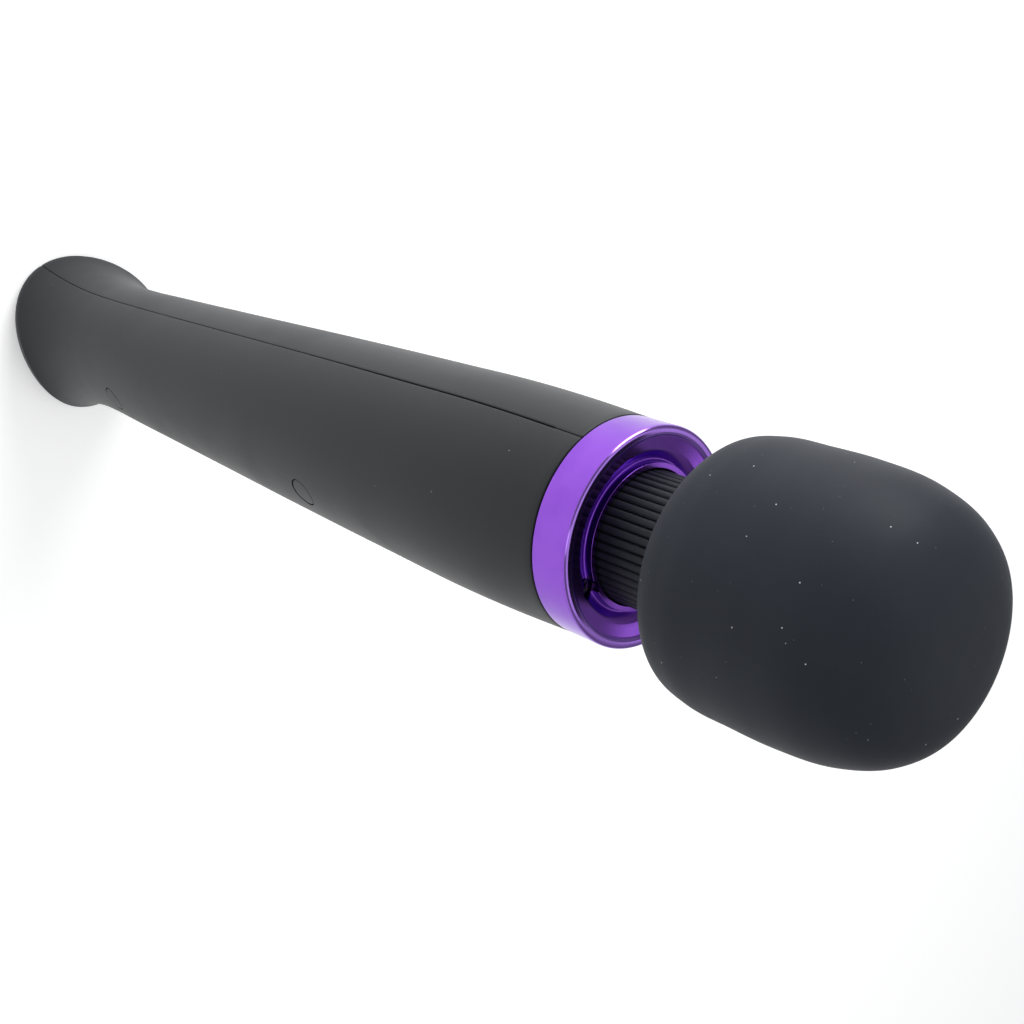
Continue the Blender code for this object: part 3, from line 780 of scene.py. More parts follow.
def carve(piece: bpy.types.Object, tools: Sequence[bpy.types.Object], sharp: float = 35.0) -> None:
    """Cut closed tools out of a piece with one exact Boolean each, and remove the tools."""
    for tool in tools:
        cut = piece.modifiers.new("cut", "BOOLEAN")
        cut.operation = "DIFFERENCE"
        cut.solver = "EXACT"
        cut.object = tool
    evaluated = piece.evaluated_get(bpy.context.evaluated_depsgraph_get())
    mesh = bpy.data.meshes.new_from_object(evaluated)
    piece.modifiers.clear()
    old = piece.data
    piece.data = mesh
    bpy.data.meshes.remove(old)
    mesh.name = piece.name
    mesh.shade_smooth()
    mesh.set_sharp_from_angle(angle=math.radians(sharp))
    for tool in tools:
        bpy.data.objects.remove(tool, do_unlink=True)


def plug_tool(radius: float, length: float) -> np.ndarray:
    """Return the outline of a plain cylinder that is used to cut a hole."""
    half = length / 2.0
    return np.array([(0.0, half), (radius, half), (radius, -half), (0.0, -half)])


# ---------------------------------------------------------------------------------------------
# Sub-assemblies
# ---------------------------------------------------------------------------------------------

@dataclass
class HandleForm:
    """The outer form of the handle, shared by the shells and what is set into them."""

    stations: Tuple[Tuple[float, float], ...] = (
        (260.0, 24.25), (245.0, 24.9), (229.0, 25.2), (200.0, 24.7), (158.0, 23.7), (118.0, 22.5),
        (84.0, 21.5), (66.0, 21.0), (46.0, 20.5), (35.0, 20.6), (25.0, 21.4), (17.5, 22.7),
        (11.5, 24.3), (8.2, 25.5), (6.9, 26.0), (6.2, 25.8))
    tail_start: float = 77.0 * MM
    tail_full: float = 8.0 * MM
    oval: float = 0.035
    sweep: float = 5.4 * MM
    rim: float = 26.0 * MM
    mouth: Tuple[float, float, float] = (20.0 * MM, 12.0 * MM, 0.5 * MM)
    wall: float = 2.2 * MM

    def radius(self, height: np.ndarray) -> np.ndarray:
        """Return the mean outer radius at heights, smooth through the stations."""
        table = np.array(self.stations[::-1]) * MM
        return hermite(np.asarray(height, dtype=float), table[:, 0], table[:, 1])

    def shaped(self, radius: np.ndarray, height: np.ndarray, angle: np.ndarray) -> np.ndarray:
        """Place ring points, with the tail's oval and swept rim.

        A weight w goes smoothly from 0 to 1 down the tail. With c = cos 2a, the ring's radius is
        multiplied by 1 + oval w c, and its height falls by sweep w c (r / rim)^2.

        Args:
            radius: Mean radii.
            height: Mean heights.
            angle: Angles around the axis.

        Returns:
            Points, with X, Y and Z last.
        """
        share = np.clip((self.tail_start - height) / (self.tail_start - self.tail_full), 0.0, 1.0)
        weight = share * share * (3.0 - 2.0 * share)
        wave = np.cos(2.0 * angle)
        ring = radius * (1.0 + self.oval * weight * wave)
        drop = self.sweep * weight * wave * (radius / self.rim) ** 2
        return np.stack([ring * np.cos(angle), ring * np.sin(angle), height - drop], -1)

    def under(self, rim: np.ndarray, angle: np.ndarray, lift: float, steps: int) -> np.ndarray:
        """Round from the rim in to the mouth.

        Along a quarter turn t, the point is mouth + (rim - mouth) cos t across, and its height is
        the mouth's plus (rim - mouth)(1 - sin t).

        Args:
            rim: The rim's points, one for each angle.
            angle: The angles.
            lift: How far the mouth is raised, for the inner surface.
            steps: Rows from the rim to the mouth.

        Returns:
            Rows of points.
        """
        mouth = np.stack([self.mouth[0] * np.cos(angle), self.mouth[1] * np.sin(angle),
                          self.mouth[2] + lift + 0.0 * angle], -1)
        turn = (np.linspace(0.0, 1.0, steps + 1)[1:] * math.pi / 2.0)[:, None, None]
        across = mouth[None] + (rim - mouth)[None] * np.cos(turn)
        height = mouth[None, :, 2:] + (rim - mouth)[None, :, 2:] * (1.0 - np.sin(turn))
        return np.concatenate([across[..., :2], height], -1)


@dataclass
class HandleShells:
    """The two half shells with softened parting edges, button holes and screw recesses.

    The shells meet tightly at the collar and part a little below it: over the relief the gap is
    wider, and it closes again evenly towards the tail.
    """

    form: HandleForm
    columns: int = 150
    parting: float = 0.06 * MM
    relief: float = 0.11 * MM
    relief_top: float = 252.4 * MM
    relief_foot: Tuple[float, float] = (150.0 * MM, 205.0 * MM)
    edge: float = 0.26 * MM
    cavity_foot: float = 13.0 * MM
    button_hole: float = 5.72 * MM
    light_hole: float = 1.42 * MM
    plug_hole: float = 4.1 * MM
    front_middle: float = -24.0 * MM
    rear_middle: float = 22.0 * MM
    front_depth: float = 18.0 * MM
    rear_depth: float = 12.0 * MM

    def loop(self, angle: np.ndarray) -> np.ndarray:
        """Return the closed outline of the wall at each angle, as rows by angles by 3.

        The outline runs down the outside, rounds under to the mouth, and comes back up inside.
        """
        form = self.form
        top = form.stations[0][0] * MM
        rim = form.stations[-1][0] * MM
        step = self.relief_top + np.array([-0.05, 0.05]) * MM
        heights = np.concatenate([np.linspace(top - self.edge, form.tail_start + 1.0 * MM, 96), step])
        heights = np.concatenate([np.sort(heights)[::-1], np.linspace(form.tail_start, rim, 60)])
        turn = np.linspace(0.0, math.pi / 2.0, 5)[:-1]
        lead = form.radius(np.array([top]))[0]
        edge_r = lead - self.edge * (1.0 - np.sin(turn))
        edge_z = top - self.edge * (1.0 - np.cos(turn))
        radii = np.concatenate([edge_r, form.radius(heights)])
        heights = np.concatenate([edge_z, heights])
        outer = form.shaped(radii[:, None], heights[:, None], angle[None, :])
        under = form.under(outer[-1], angle, 0.0, 20)
        inner_heights = np.linspace(self.cavity_foot, top, 40)
        inner = form.shaped((form.radius(inner_heights) - form.wall)[:, None], inner_heights[:, None],
                            angle[None, :])
        inner_under = form.under(inner[0], angle, 3.0 * MM, 8)[::-1]
        return np.concatenate([outer, under, inner_under, inner])

    def half(self, name: str, side: float) -> bpy.types.Object:
        """Build one half shell.

        Columns go round from one parting edge to the other. The last columns at each end round
        the edge: for a turn b they are edge (1 - cos b) inside the wall and edge (1 - sin b) from
        the parting face. One flat face closes each end. The body between keeps its reach and is
        moved off the parting plane by less and less towards the middle of the half.

        Args:
            name: The piece's name.
            side: 1 for the back half and -1 for the front half.

        Returns:
            The shell.
        """
        body = np.linspace(0.0, math.pi, self.columns)[1:-1]
        turn = np.linspace(math.pi / 2.0, 0.0, 5)
        angle = np.concatenate([np.zeros(5), body, np.full(5, math.pi)])
        sink = self.edge * (1.0 - np.cos(turn))
        inset = np.concatenate([sink, 0.0 * body, sink[::-1]])
        off = self.edge * (1.0 - np.sin(turn))
        grid = self.loop(angle)
        reach = np.hypot(grid[..., 0], grid[..., 1])
        flat = np.stack([reach, grid[..., 2]], -1)
        tangent = np.roll(flat, -1, 0) - np.roll(flat, 1, 0)
        tangent /= np.linalg.norm(tangent, axis=-1, keepdims=True) + 1e-12
        normal = np.stack([tangent[..., 1], -tangent[..., 0]], -1)
        moved = flat + normal * inset[None, :, None]
        xy = grid[..., :2] / (reach[..., None] + 1e-12) * moved[..., :1]
        foot, full = self.relief_foot
        share = np.clip((grid[..., 2] - foot) / (full - foot), 0.0, 1.0)
        opened = share * share * (3.0 - 2.0 * share) * (grid[..., 2] < self.relief_top)
        gap = self.parting + self.relief * opened
        clear = self.parting + self.edge
        lifted = clear + np.abs(xy[..., 1]) * (1.0 - clear / (reach + 1e-12))
        edges = gap + np.concatenate([off, 0.0 * body, off[::-1]])[None, :]
        y = np.where((angle > 0.0) & (angle < math.pi), lifted, edges)
        points = np.stack([xy[..., 0], side * y, moved[..., 1]], -1)
        rows, columns = points.shape[:2]
        faces = grid_faces(rows, columns, True, False).tolist()
        faces.append([i * columns for i in range(rows)])
        faces.append([i * columns + columns - 1 for i in range(rows)][::-1])
        return solid(name, points, faces, 32.0)

    @staticmethod
    def drill(node: str, radius: float, steps: int, middle: float, depth: float,
              sign: float) -> bpy.types.Object:
        """Make the cutter for one round hole through a shell.

        Args:
            node: The CAD node that sits in the hole, which gives its height.
            radius: The hole's radius.
            steps: Sides of the cutter.
            middle: The Y of the cutter's middle.
            depth: The cutter's length.
            sign: 1 for the back and -1 for the front.

        Returns:
            The cutter.
        """
        low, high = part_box(node)
        centre = (0.0, middle, (low[2] + high[2]) / 2.0)
        return along_y("tool", plug_tool(radius, depth), steps, centre, sign)

    def build(self, closet: Wardrobe) -> List[bpy.types.Object]:
        """Build, carve and dress both shells."""
        front = self.half("front_shell_skin", -1.0)
        holes = [("button_" + label, self.button_hole, 96) for label in Controls.LABELS]
        holes.append(("status_light_pipe", self.light_hole, 48))
        carve(front, [self.drill(node, radius, steps, self.front_middle, self.front_depth, -1.0)
                      for node, radius, steps in holes], 32.0)
        rear = self.half("rear_shell_skin", 1.0)
        carve(rear, [self.drill("screw_plug_" + label, self.plug_hole, 96, self.rear_middle,
                                self.rear_depth, 1.0) for label in ("upper", "lower")], 32.0)
        for piece, node in ((front, "front_shell"), (rear, "rear_shell")):
            closet.dress(piece, Slot.SHELL)
            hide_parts(node)
            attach(piece, "handle")
        return [front, rear]


@dataclass
class ScrewPlugs:
    """Round plugs over the shell screws, flush with the back of the handle."""

    form: HandleForm
    radius: float = 3.85 * MM
    edge: float = 0.3 * MM
    below: float = 0.06 * MM
    depth: float = 3.0 * MM

    def build(self, closet: Wardrobe) -> List[bpy.types.Object]:
        """Build and dress both plugs.

        A plug's face follows the handle: at (x, z) it lies at y = sqrt(R^2 - x^2) - below,
        with its edge rounded over, and its side is a plain cylinder.
        """
        pieces = []
        for label in ("upper", "lower"):
            low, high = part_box("screw_plug_" + label)
            middle = (low[2] + high[2]) / 2.0
            turn = np.linspace(0.0, 1.0, 6)[1:] * math.pi / 2.0
            ring = np.concatenate([np.linspace(0.0, 1.0 - self.edge / self.radius, 14),
                                   1.0 - self.edge / self.radius * (1.0 - np.sin(turn))])
            sink = np.concatenate([np.zeros(14), self.edge * (1.0 - np.cos(turn))])
            angle = np.linspace(0.0, math.tau, 72, endpoint=False)
            x = self.radius * ring[:, None] * np.cos(angle)[None, :]
            z = middle + self.radius * ring[:, None] * np.sin(angle)[None, :]
            big = self.form.radius(z)
            y = np.sqrt(big * big - x * x) - self.below - sink[:, None]
            face = np.stack([x, y, z], -1)
            side = face[-1:].copy()
            side[..., 1] = high[1] - self.depth
            foot = side.copy()
            foot[..., 0] = 0.0
            foot[..., 2] = middle
            points = np.concatenate([face, side, foot])
            faces = grid_faces(len(points), 72, False, True).tolist()
            piece = solid("screw_plug_%s_skin" % label, points, faces, 40.0)
            closet.dress(piece, Slot.SHELL)
            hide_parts("screw_plug_" + label)
            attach(piece, "handle")
            pieces.append(piece)
        return pieces


@dataclass
class Controls:
    """The four silicone buttons with raised marks, and the light beside them."""

    radius: float = 5.5 * MM
    mark: float = 0.16 * MM
    LABELS = ("power", "plus", "minus", "pattern")

    @staticmethod
    def stroke(distance: np.ndarray, width: float) -> np.ndarray:
        """Return a soft-edged stroke: 1 within half the width of a line and 0 beyond."""
        edge = 0.12 * MM
        return np.clip((width / 2.0 + edge - distance) / edge, 0.0, 1.0)

    def symbol(self, label: str, x: np.ndarray, z: np.ndarray) -> np.ndarray:
        """Return a button's raised mark as a height from 0 to 1.

        Plus and minus are bars, power is an open ring with a bar through its gap, and pattern is
        a wave: the distance to a sine curve.
        """
        width = 0.75 * MM
        bar = np.hypot(np.maximum(np.abs(x) - 2.0 * MM, 0.0), z)
        post = np.hypot(x, np.maximum(np.abs(z) - 2.0 * MM, 0.0))
        if label == "minus":
            return self.stroke(bar, width)
        if label == "plus":
            return np.maximum(self.stroke(bar, width), self.stroke(post, width))
        if label == "power":
            ring = np.abs(np.hypot(x, z) - 2.0 * MM)
            opening = np.clip((np.abs(np.arctan2(x, z)) - 0.5) / 0.08, 0.0, 1.0)
            stalk = np.hypot(x, np.maximum(np.abs(z - 1.7 * MM) - 0.9 * MM, 0.0))
            return np.maximum(self.stroke(ring, width) * opening, self.stroke(stalk, width))
        phase = x / (0.85 * MM)
        swing = np.abs(z - 1.1 * MM * np.sin(phase)) / np.sqrt(1.0 + np.cos(phase) ** 2)
        return self.stroke(np.hypot(swing, np.maximum(np.abs(x) - 2.6 * MM, 0.0)), width)

    def button(self, label: str, closet: Wardrobe) -> bpy.types.Object:
        """Build one button.

        The top is a polar grid: a dome that falls by the square of the radius, with a shallow
        finger dish and the raised mark on it. Below it the outline goes down the side, out round
        the flange and in to the stem.

        Args:
            label: Which button.
            closet: The finishes.

        Returns:
            The dressed button.
        """
        low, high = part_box("button_" + label)
        middle = (low[2] + high[2]) / 2.0
        crown, foot = -low[1], -high[1]
        turn = np.linspace(0.1, 1.0, 10) * math.pi / 2.0
        share = np.concatenate([np.linspace(0.0, 0.86, 44), 0.86 + 0.14 * np.sin(turn)])
        angle = np.linspace(0.0, math.tau, 128, endpoint=False)
        x = self.radius * share[:, None] * np.cos(angle)[None, :]
        z = self.radius * share[:, None] * np.sin(angle)[None, :]
        dish = 0.22 * MM * np.exp(-(share / 0.5) ** 2)[:, None]
        roll = 0.75 * MM * np.clip((share - 0.86) / 0.14, 0.0, 1.0) ** 3
        top = crown - self.mark - dish - 0.35 * MM * share[:, None] ** 2 - roll[:, None]
        top = top + self.mark * self.symbol(label, x, z)
        surface = crown - 0.8 * MM
        flange = surface - 5.1 * MM
        under = rings_of([
            (self.radius, flange + 1.3 * MM), (6.6 * MM, flange + 1.2 * MM), (6.8 * MM, flange + 1.0 * MM),
            (6.8 * MM, flange), (2.0 * MM, flange), (2.0 * MM, foot), (0.0, foot)], angle)
        points = np.concatenate([np.stack([x, z, top], -1), under])
        points = np.stack([points[..., 0], -points[..., 2], points[..., 1] + middle], -1)
        faces = grid_faces(len(points), 128, False, True).tolist()
        piece = solid("button_%s_skin" % label, points, faces, 50.0)
        closet.dress(piece, Slot.SILICONE)
        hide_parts("button_" + label)
        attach(piece, label + "_button")
        return piece

    def build(self, closet: Wardrobe) -> List[bpy.types.Object]:
        """Build the buttons and the domed light pipe."""
        pieces = [self.button(label, closet) for label in self.LABELS]
        low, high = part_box("status_light_pipe")
        tip, tail = -low[1], -high[1]
        middle = (low[2] + high[2]) / 2.0
        outline = filleted([
            (0.0, tip / MM, 0.0), (1.3, tip / MM - 0.15, 0.35), (1.3, tail / MM, 0.2),
            (0.0, tail / MM, 0.0),
        ], False)
        outline = refined(outline, 0.4 * MM, False)
        light = along_y("status_light_skin", outline, 48, (0.0, 0.0, middle), -1.0)
        closet.dress(light, Slot.LIGHT)
        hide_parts("status_light_pipe")
        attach(light, "handle")
        return pieces + [light]


@dataclass
class Tail:
    """The end plate under the tail with its screws and the charging inlet."""

    half_width: float = 19.7 * MM
    half_depth: float = 11.7 * MM
    thickness: float = 3.2 * MM
    inlet_hole: float = 4.85 * MM
    screw_x: float = 13.5 * MM

    def plate(self) -> bpy.types.Object:
        """Build the oval plate: nested ellipses with a rounded lower edge, then its three holes."""
        edge = 0.5 * MM
        turn = np.linspace(0.0, math.pi / 2.0, 6)
        inward = np.concatenate([[1.0], edge * (1.0 - np.sin(turn)) / self.half_depth, [0.0, 1.0]])
        height = np.concatenate([[0.0], edge * (1.0 - np.cos(turn)), [self.thickness, self.thickness]])
        angle = np.linspace(0.0, math.tau, 160, endpoint=False)
        shrink = self.half_depth * inward[:, None]
        x = np.maximum(self.half_width - shrink, 0.0) * np.cos(angle)[None, :]
        y = (self.half_depth - shrink) * np.sin(angle)[None, :]
        flat = inward[:, None] >= 1.0
        x = np.where(flat, 0.0, x)
        points = np.stack([x, y, height[:, None] + 0.0 * x], -1)
        piece = solid("end_plate_skin", points, grid_faces(len(points), 160, False, True).tolist(), 30.0)
        holes = [(0.0, self.inlet_hole), (-self.screw_x, 2.0 * MM), (self.screw_x, 2.0 * MM)]
        tools = []
        for x_place, radius in holes:
            tool = turned("tool", plug_tool(radius, 12.0 * MM), 64)
            tools.append(aim(tool, Matrix.Translation((x_place, 0.0, 1.0 * MM))))
        carve(piece, tools, 30.0)
        return piece

    def build(self, closet: Wardrobe) -> List[bpy.types.Object]:
        """Build and dress the tail's fittings."""
        plate = self.plate()
        closet.dress(plate, Slot.BLACK)
        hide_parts("end_plate")
        inlet = turned("charge_inlet_skin", refined(filleted([
            (0.0, 15.0, 0.0), (4.5, 15.0, 0.3), (4.5, 0.4, 0.35), (2.8, 0.4, 0.3), (2.8, 10.0, 0.2),
            (0.0, 10.0, 0.0)], False), 0.8 * MM, False), 72)
        closet.dress(inlet, Slot.BLACK)
        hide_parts("charge_jack")
        pin = turned("charge_pin_skin", refined(filleted([
            (0.0, 9.7, 0.0), (0.95, 9.7, 0.1), (0.95, 2.3, 0.8), (0.0, 2.3, 0.0),
        ], False), 0.5 * MM, False), 40)
        closet.dress(pin, Slot.STEEL)
        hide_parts("charge_jack_pin")
        pieces = [plate, inlet, pin]
        for label, x in (("left", -self.screw_x), ("right", self.screw_x)):
            screw = CrossScrew(1.7 * MM, 1.0 * MM, 1.2 * MM, 7.3 * MM).build("end_screw_%s_skin" % label)
            aim(screw, Matrix.Translation((x, 0.0, 0.5 * MM)) @ Matrix.Rotation(math.pi, 4, "X"))
            closet.dress(screw, Slot.DARK_STEEL)
            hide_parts("end_screw_" + label)
            pieces.append(screw)
        for piece in pieces:
            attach(piece, "handle")
        return pieces


@dataclass
class CrossScrew:
    """A small pan-head screw with a cross recess; its head's top is at height 0."""

    head: float
    shank: float
    head_height: float
    length: float

    def build(self, name: str) -> bpy.types.Object:
        """Build the screw.

        The head is a polar grid, domed by the square of the radius. The recess is the union of
        two slots that taper to their ends, sunk smoothly. The thread is the shank's radius with a
        saw wave along its length that advances one pitch a turn.
        """
        share = np.concatenate([np.linspace(0.0, 0.9, 40), [0.95, 0.985, 1.0]])
        angle = np.linspace(0.0, math.tau, 96, endpoint=False)
        x = share[:, None] * np.cos(angle)[None, :]
        y = share[:, None] * np.sin(angle)[None, :]
        first = np.maximum(np.abs(x) / 0.66, np.abs(y) / 0.17)
        second = np.maximum(np.abs(y) / 0.66, np.abs(x) / 0.17)
        sunk = np.clip((1.0 - np.minimum(first, second)) / 0.35, 0.0, 1.0)
        rounded = np.clip((share[:, None] - 0.93) / 0.07, 0.0, 1.0)
        top = -self.head * (0.16 * share[:, None] ** 2 + 0.20 * rounded + 0.45 * sunk)
        face = np.stack([x * self.head, y * self.head, top], -1)
        pitch = 0.4 * MM
        drop = np.linspace(self.head_height + 0.05 * MM, self.length - self.shank, 90)
        phase = np.mod(drop[:, None] / pitch + angle[None, :] / math.tau, 1.0)
        thread = 0.12 * MM * (1.0 - np.abs(2.0 * phase - 1.0))
        radius = self.shank - thread
        body = np.stack([radius * np.cos(angle), radius * np.sin(angle), -drop[:, None] + 0.0 * radius], -1)
        ring = rings_of([(self.head, -self.head_height), (self.shank, -self.head_height)], angle)
        tip = np.zeros((1, 96, 3))
        tip[..., 2] = -self.length
        points = np.concatenate([face, ring, body, tip])
        return solid(name, points, grid_faces(len(points), 96, False, True).tolist(), 30.0)


@dataclass
class Collar:
    """The dished purple collar and the two small screws sunk in its channel."""

    steps: int = 224
    screw_y: float = 17.4 * MM
    sink: float = 2.1

    def outline(self) -> np.ndarray:
        """Return the collar's closed outline: band, lip, channel, inner ring, bore and skirt."""
        corners = [
            (24.25, 270.2, 2.0), (24.25, 260.32, 0.25), (21.5, 260.32, 0.1), (21.5, 256.3, 0.3),
            (19.7, 256.3, 0.3), (19.7, 260.3, 0.1), (14.95, 260.3, 0.2), (14.95, 269.2, 0.12),
            (16.2, 269.2, 0.12), (16.25, 266.9, 0.4), (18.8, 268.75, 2.0), (21.9, 269.5, 0.8),
            (22.4, 270.2, 0.8),
        ]
        return refined(filleted(corners, True, 10), 0.5 * MM, True)

    def build(self, closet: Wardrobe) -> List[bpy.types.Object]:
        """Build and dress the collar and its screws."""
        piece = turned("collar_skin", self.outline(), self.steps, True, 50.0)
        tools = []
        for sign in (-1.0, 1.0):
            sink = turned("tool", plug_tool(self.sink * MM, 10.0 * MM), 64)
            tools.append(aim(sink, Matrix.Translation((0.0, sign * self.screw_y, 270.2 * MM))))
            bore = turned("tool", plug_tool(1.25 * MM, 8.0 * MM), 48)
            tools.append(aim(bore, Matrix.Translation((0.0, sign * self.screw_y, 262.0 * MM))))
        carve(piece, tools, 50.0)
        closet.dress(piece, Slot.COLLAR)
        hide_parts("collar")
        pieces = [piece]
        for label, sign in (("front", -1.0), ("rear", 1.0)):
            low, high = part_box("collar_screw_" + label)
            form = CrossScrew(1.8 * MM, 1.0 * MM, 1.6 * MM, high[2] - low[2])
            screw = form.build("collar_screw_%s_skin" % label)
            place = Matrix.Translation((0.0, sign * self.screw_y, high[2]))
            aim(screw, place @ Matrix.Rotation(0.5, 4, "Z"))
            closet.dress(screw, Slot.DARK_STEEL)
            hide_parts("collar_screw_" + label)
            pieces.append(screw)
        for each in pieces:
            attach(each, "handle")
        return pieces


@dataclass
class Neck:
    """The fluted sleeve, the spring and the leads, each in a lower and an upper stretch.
    """

    crest: float = 14.6 * MM
    groove: float = 0.62 * MM
    bore: float = 11.6 * MM
    flutes: int = 48
    split: float = 276.2 * MM
    bend_from: float = 268.5 * MM
    bend_to: float = 286.5 * MM

    def fluted(self, radius: np.ndarray, height: np.ndarray, angle: np.ndarray) -> np.ndarray:
        """Sink narrow grooves between broad rounded ribs on the outer wall.

        With s = |sin(flutes a / 2)|, the outer radius falls by groove (1 - s)^1.8.
        """
        swing = np.abs(np.sin(self.flutes * angle / 2.0))
        sink = self.groove * (1.0 - swing) ** 1.8
        return np.where(radius > self.bore + 1.0 * MM, radius - sink, radius)

    def stretch(self, name: str, low: float, high: float) -> bpy.types.Object:
        """Build one stretch of the sleeve as a closed ring."""
        corners = np.array([(self.crest, high), (self.crest, low), (self.bore, low), (self.bore, high)])
        outline = refined(corners, 0.9 * MM, True)
        return turned(name, outline, self.flutes * 16, True, 45.0, self.fluted)

    @staticmethod
    def wire(name: str, path: np.ndarray, radius: float, sides: int = 14) -> bpy.types.Object:
        """Carry a circle along a path as a closed tube.

        The circle stands square to the path: its first axis is the path's direction crossed with
        a fixed vector, and its second is square to both.

        Args:
            name: The piece's name.
            path: Points along the middle of the wire.
            radius: The wire's radius.
            sides: Points round the circle.

        Returns:
            The tube, with flat ends.
        """
        run = np.gradient(path, axis=0)
        run /= np.linalg.norm(run, axis=1, keepdims=True)
        first = np.cross(run, np.array([0.13, 0.97, 0.2]))
        first /= np.linalg.norm(first, axis=1, keepdims=True)
        second = np.cross(run, first)
        angle = np.linspace(0.0, math.tau, sides, endpoint=False)[None, :, None]
        rings = path[:, None] + radius * (np.cos(angle) * first[:, None] + np.sin(angle) * second[:, None])
        ends = [np.repeat(path[i][None, None], sides, 1) for i in (0, -1)]
        points = np.concatenate([ends[0], rings, ends[1]])
        return solid(name, points, grid_faces(len(points), sides, False, True).tolist(), 40.0)

    def lead(self, sign: float) -> np.ndarray:
        """Return the path of one motor lead from the board up to the motor."""
        anchors = np.array([
            (4.0 * sign, -12.8, 240.6), (3.8 * sign, -8.0, 243.6), (2.4 * sign, -2.0, 246.0),
            (1.8 * sign, 0.0, 250.0), (1.6 * sign, 0.0, 264.0), (1.6 * sign, 0.0, 280.0),
            (1.8 * sign, 0.0, 290.0), (2.4 * sign, 0.0, 296.4)]) * MM
        knots = np.concatenate([[0.0], np.cumsum(np.linalg.norm(np.diff(anchors, axis=0), axis=1))])
        at = np.linspace(0.0, knots[-1], 120)
        return np.stack([hermite(at, knots, anchors[:, i]) for i in range(3)], -1)

    def spring(self) -> np.ndarray:
        """Return the spring's helix: five turns that rise evenly."""
        turn = np.linspace(0.0, 5.0 * math.tau, 420)
        rise = np.linspace(264.9, 281.8, 420) * MM
        return np.stack([8.4 * MM * np.cos(turn), 8.4 * MM * np.sin(turn), rise], -1)

    def split_wire(self, name: str, path: np.ndarray, radius: float) -> List[bpy.types.Object]:
        """Build a wire as a lower and an upper stretch that meet at the split height."""
        lower = path[path[:, 2] <= self.split]
        upper = path[path[:, 2] > self.split]
        middle = (lower[-1] + upper[0]) / 2.0
        return [self.wire(name + "_lower", np.vstack([lower, middle]), radius),
                self.wire(name + "_upper", np.vstack([middle, upper]), radius)]

    def build(self, closet: Wardrobe) -> List[bpy.types.Object]:
        """Build and dress every stretch."""
        low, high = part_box("neck_sleeve")
        red, black = self.lead(1.0), self.lead(-1.0)
        groups = [
            ([self.stretch("neck_sleeve_lower", low[2], self.split),
              self.stretch("neck_sleeve_upper", self.split, high[2])], Slot.NECK, "neck_sleeve"),
            (self.split_wire("neck_spring", self.spring(), 0.9 * MM), Slot.STEEL, "neck_spring"),
            (self.split_wire("motor_lead_red", red, 0.7 * MM), Slot.RED, "motor_lead_red"),
            (self.split_wire("motor_lead_black", black, 0.7 * MM), Slot.BLACK_LEAD, "motor_lead_black"),
        ]
        pieces = []
        for (lower, upper), slot, node in groups:
            for piece in (lower, upper):
                closet.dress(piece, slot)
                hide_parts(node)
            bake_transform(lower)
            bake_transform(upper)
            pieces += [lower, upper]
        return pieces


@dataclass
class Head:
    """The silicone cover of the head: a barrel with a broad dome and a drawn-in shoulder."""

    stations: Tuple[Tuple[float, float], ...] = (
        (0.0, 344.0), (8.0, 343.6), (14.6, 342.3), (19.4, 339.8), (23.5, 335.3), (26.9, 327.0),
        (28.2, 316.0), (28.25, 306.0), (27.9, 297.0), (26.4, 291.6), (23.0, 288.3), (19.4, 287.4),
        (16.4, 287.3))
    steps: int = 224

    def outline(self) -> np.ndarray:
        """Return the outline: a smooth curve through the stations, then the mouth and the inside."""
        table = np.array(self.stations) * MM
        knots = np.concatenate([[0.0], np.cumsum(np.linalg.norm(np.diff(table, axis=0), axis=1))])
        at = np.linspace(0.0, knots[-1], 190)
        outer = np.stack([hermite(at, knots, table[:, i]) for i in range(2)], -1)
        outer[0, 0] = 0.0
        outer[:, 0] *= table[:, 0].max() / outer[:, 0].max()
        outer[:, 1] = np.minimum(outer[:, 1], table[0, 1])
        inside = filleted([
            (16.4, 287.3, 0.0), (15.2, 287.3, 0.5), (15.2, 290.2, 0.2), (21.0, 290.4, 1.0),
            (23.6, 292.8, 1.5), (25.3, 298.0, 2.0), (25.6, 306.0, 2.0), (25.6, 316.0, 4.0),
            (24.3, 326.0, 4.0), (21.2, 333.3, 4.0), (17.6, 337.2, 3.0), (12.0, 340.2, 3.0),
            (0.0, 341.2, 0.0)], False, 3)
        return np.concatenate([outer, inside[1:]])

    def build(self, closet: Wardrobe) -> List[bpy.types.Object]:
        """Build and dress the cover."""
        piece = turned("head_cover_skin", self.outline(), self.steps, False, 50.0)
        closet.dress(piece, Slot.SILICONE)
        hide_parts("head_cover")
        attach(piece, "head")
        return [piece]


# ---------------------------------------------------------------------------------------------
# Studio
# ---------------------------------------------------------------------------------------------

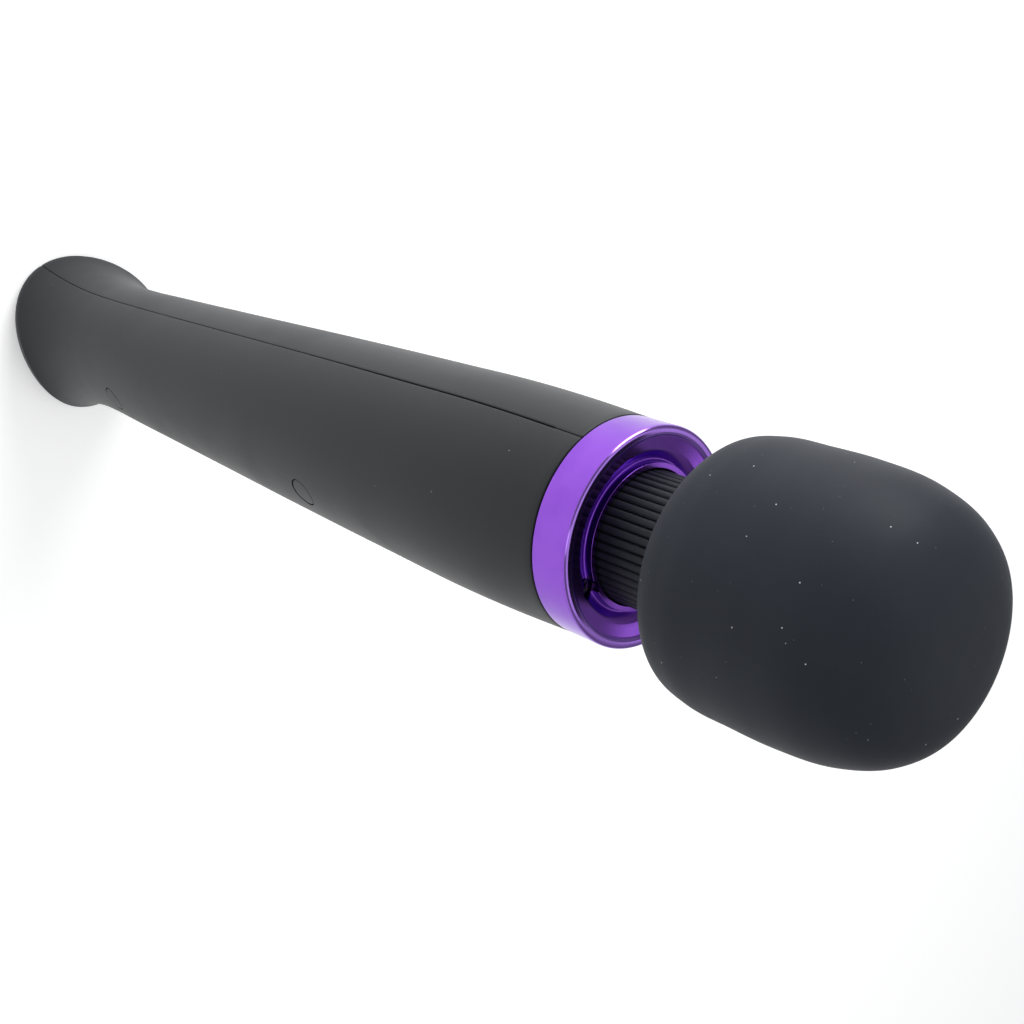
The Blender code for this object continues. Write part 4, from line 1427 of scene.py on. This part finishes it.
@dataclass
class Studio:
    """The pale floor, the soft lights and the camera."""

    camera_place: Tuple[float, float, float] = (170.4 * MM, 129.8 * MM, 438.7 * MM)
    camera_target: Tuple[float, float, float] = (8.07 * MM, 12.02 * MM, 243.36 * MM)
    roll: float = 111.06
    lens: float = 45.9
    world_light: float = 0.30
    floor_glow: float = 0.30

    def camera(self) -> None:
        """Add the camera: it looks at the target and is rolled about its line of sight."""
        data = bpy.data.cameras.new("camera")
        data.lens = self.lens
        data.sensor_width = 36.0
        data.clip_start = 0.01
        place, target = Vector(self.camera_place), Vector(self.camera_target)
        back = (place - target).normalized()
        level = (Vector((0.0, 0.0, 1.0)) - back * back.z).normalized()
        side = level.cross(back)
        angle = math.radians(self.roll)
        up = level * math.cos(angle) - side * math.sin(angle)
        right = up.cross(back)
        turn = Matrix((right, up, back)).transposed().to_4x4()
        camera = bpy.data.objects.new("camera", data)
        camera.matrix_world = Matrix.Translation(place) @ turn
        bpy.context.scene.collection.objects.link(camera)
        bpy.context.scene.camera = camera

    def floor(self) -> None:
        """Lay a wide pale floor under the wand."""
        build = bmesh.new()
        bmesh.ops.create_circle(build, cap_ends=True, segments=96, radius=6.0)
        mesh = bpy.data.meshes.new("floor")
        build.to_mesh(mesh)
        build.free()
        floor = bpy.data.objects.new("floor", mesh)
        floor.location.z = CAD_BOX[0][2]
        bpy.context.scene.collection.objects.link(floor)
        graph = Graph("floor_paper")
        fibre = graph.noise(graph.place(), 400.0, 2.0)
        graph.feed("Base Color", graph.blend(fibre, (0.93, 0.93, 0.93), (0.95, 0.95, 0.95)))
        graph.feed("Roughness", 0.9)
        graph.fix(Specular_IOR_Level=0.0, Emission_Color=(1.0, 1.0, 1.0), Emission_Strength=self.floor_glow)
        mesh.materials.append(graph.material)

    @staticmethod
    def softbox(name: str, bearing: float, distance: float, height: float, size: Tuple[float, float],
                radiance: float) -> None:
        """Add one rectangular soft light that faces the wand.

        Args:
            name: The light's name.
            bearing: Its direction from the wand, in degrees from +X towards +Y.
            distance: How far away it stands, in metres along the floor.
            height: The height of its middle, in metres.
            size: Its width and height, in metres.
            radiance: How bright it looks, against 1 for white paper in full light.
        """
        data = bpy.data.lights.new(name, "AREA")
        data.shape = "RECTANGLE"
        data.size, data.size_y = size
        data.energy = radiance * math.pi * size[0] * size[1]
        light = bpy.data.objects.new(name, data)
        angle = math.radians(bearing)
        place = Vector((distance * math.cos(angle), distance * math.sin(angle), height))
        light.location = place
        light.rotation_euler = (place - Vector((0.0, 0.0, 0.15))).to_track_quat("Z", "Y").to_euler()
        bpy.context.scene.collection.objects.link(light)

    def build(self) -> None:
        """Set up the whole studio."""
        scene = bpy.context.scene
        scene.view_settings.view_transform = "Standard"
        world = bpy.data.worlds.new("studio")
        scene.world = world
        world.use_nodes = True
        sky = world.node_tree.nodes["Background"]
        sky.inputs["Color"].default_value = (0.97, 0.98, 1.0, 1.0)
        sky.inputs["Strength"].default_value = self.world_light
        self.camera()
        self.floor()
        self.softbox("overhead", 0.0, 0.0, 1.8, (3.2, 3.2), 0.80)
        self.softbox("side", 315.0, 1.1, 0.38, (0.7, 0.65), 9.0)
        self.softbox("key", 64.0, 1.1, 0.55, (0.4, 0.7), 1.5)


def main() -> None:
    """Build every sub-assembly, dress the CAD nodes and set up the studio."""
    logging.basicConfig(level=logging.INFO, format="%(name)s: %(message)s")
    closet = Wardrobe()
    form = HandleForm()
    for maker in (HandleShells(form), ScrewPlugs(form), Controls(), Tail(), Collar(), Neck(), Head()):
        for piece in maker.build(closet):
            LOG.info("%s: %s, %d faces", type(maker).__name__, piece.name, len(piece.data.polygons))
    stood_for = {
        "front_shell", "rear_shell", "screw_plug_upper", "screw_plug_lower", "status_light_pipe",
        "end_plate", "charge_jack", "charge_jack_pin", "end_screw_left", "end_screw_right", "collar",
        "collar_screw_front", "collar_screw_rear", "neck_sleeve", "neck_spring", "motor_lead_red",
        "motor_lead_black", "head_cover"}
    stood_for |= {"button_" + label for label in Controls.LABELS}
    LOG.info("dressed %d CAD nodes", closet.dress_nodes(sorted(stood_for)))
    Studio().build()


if __name__ == "__main__":
    main()
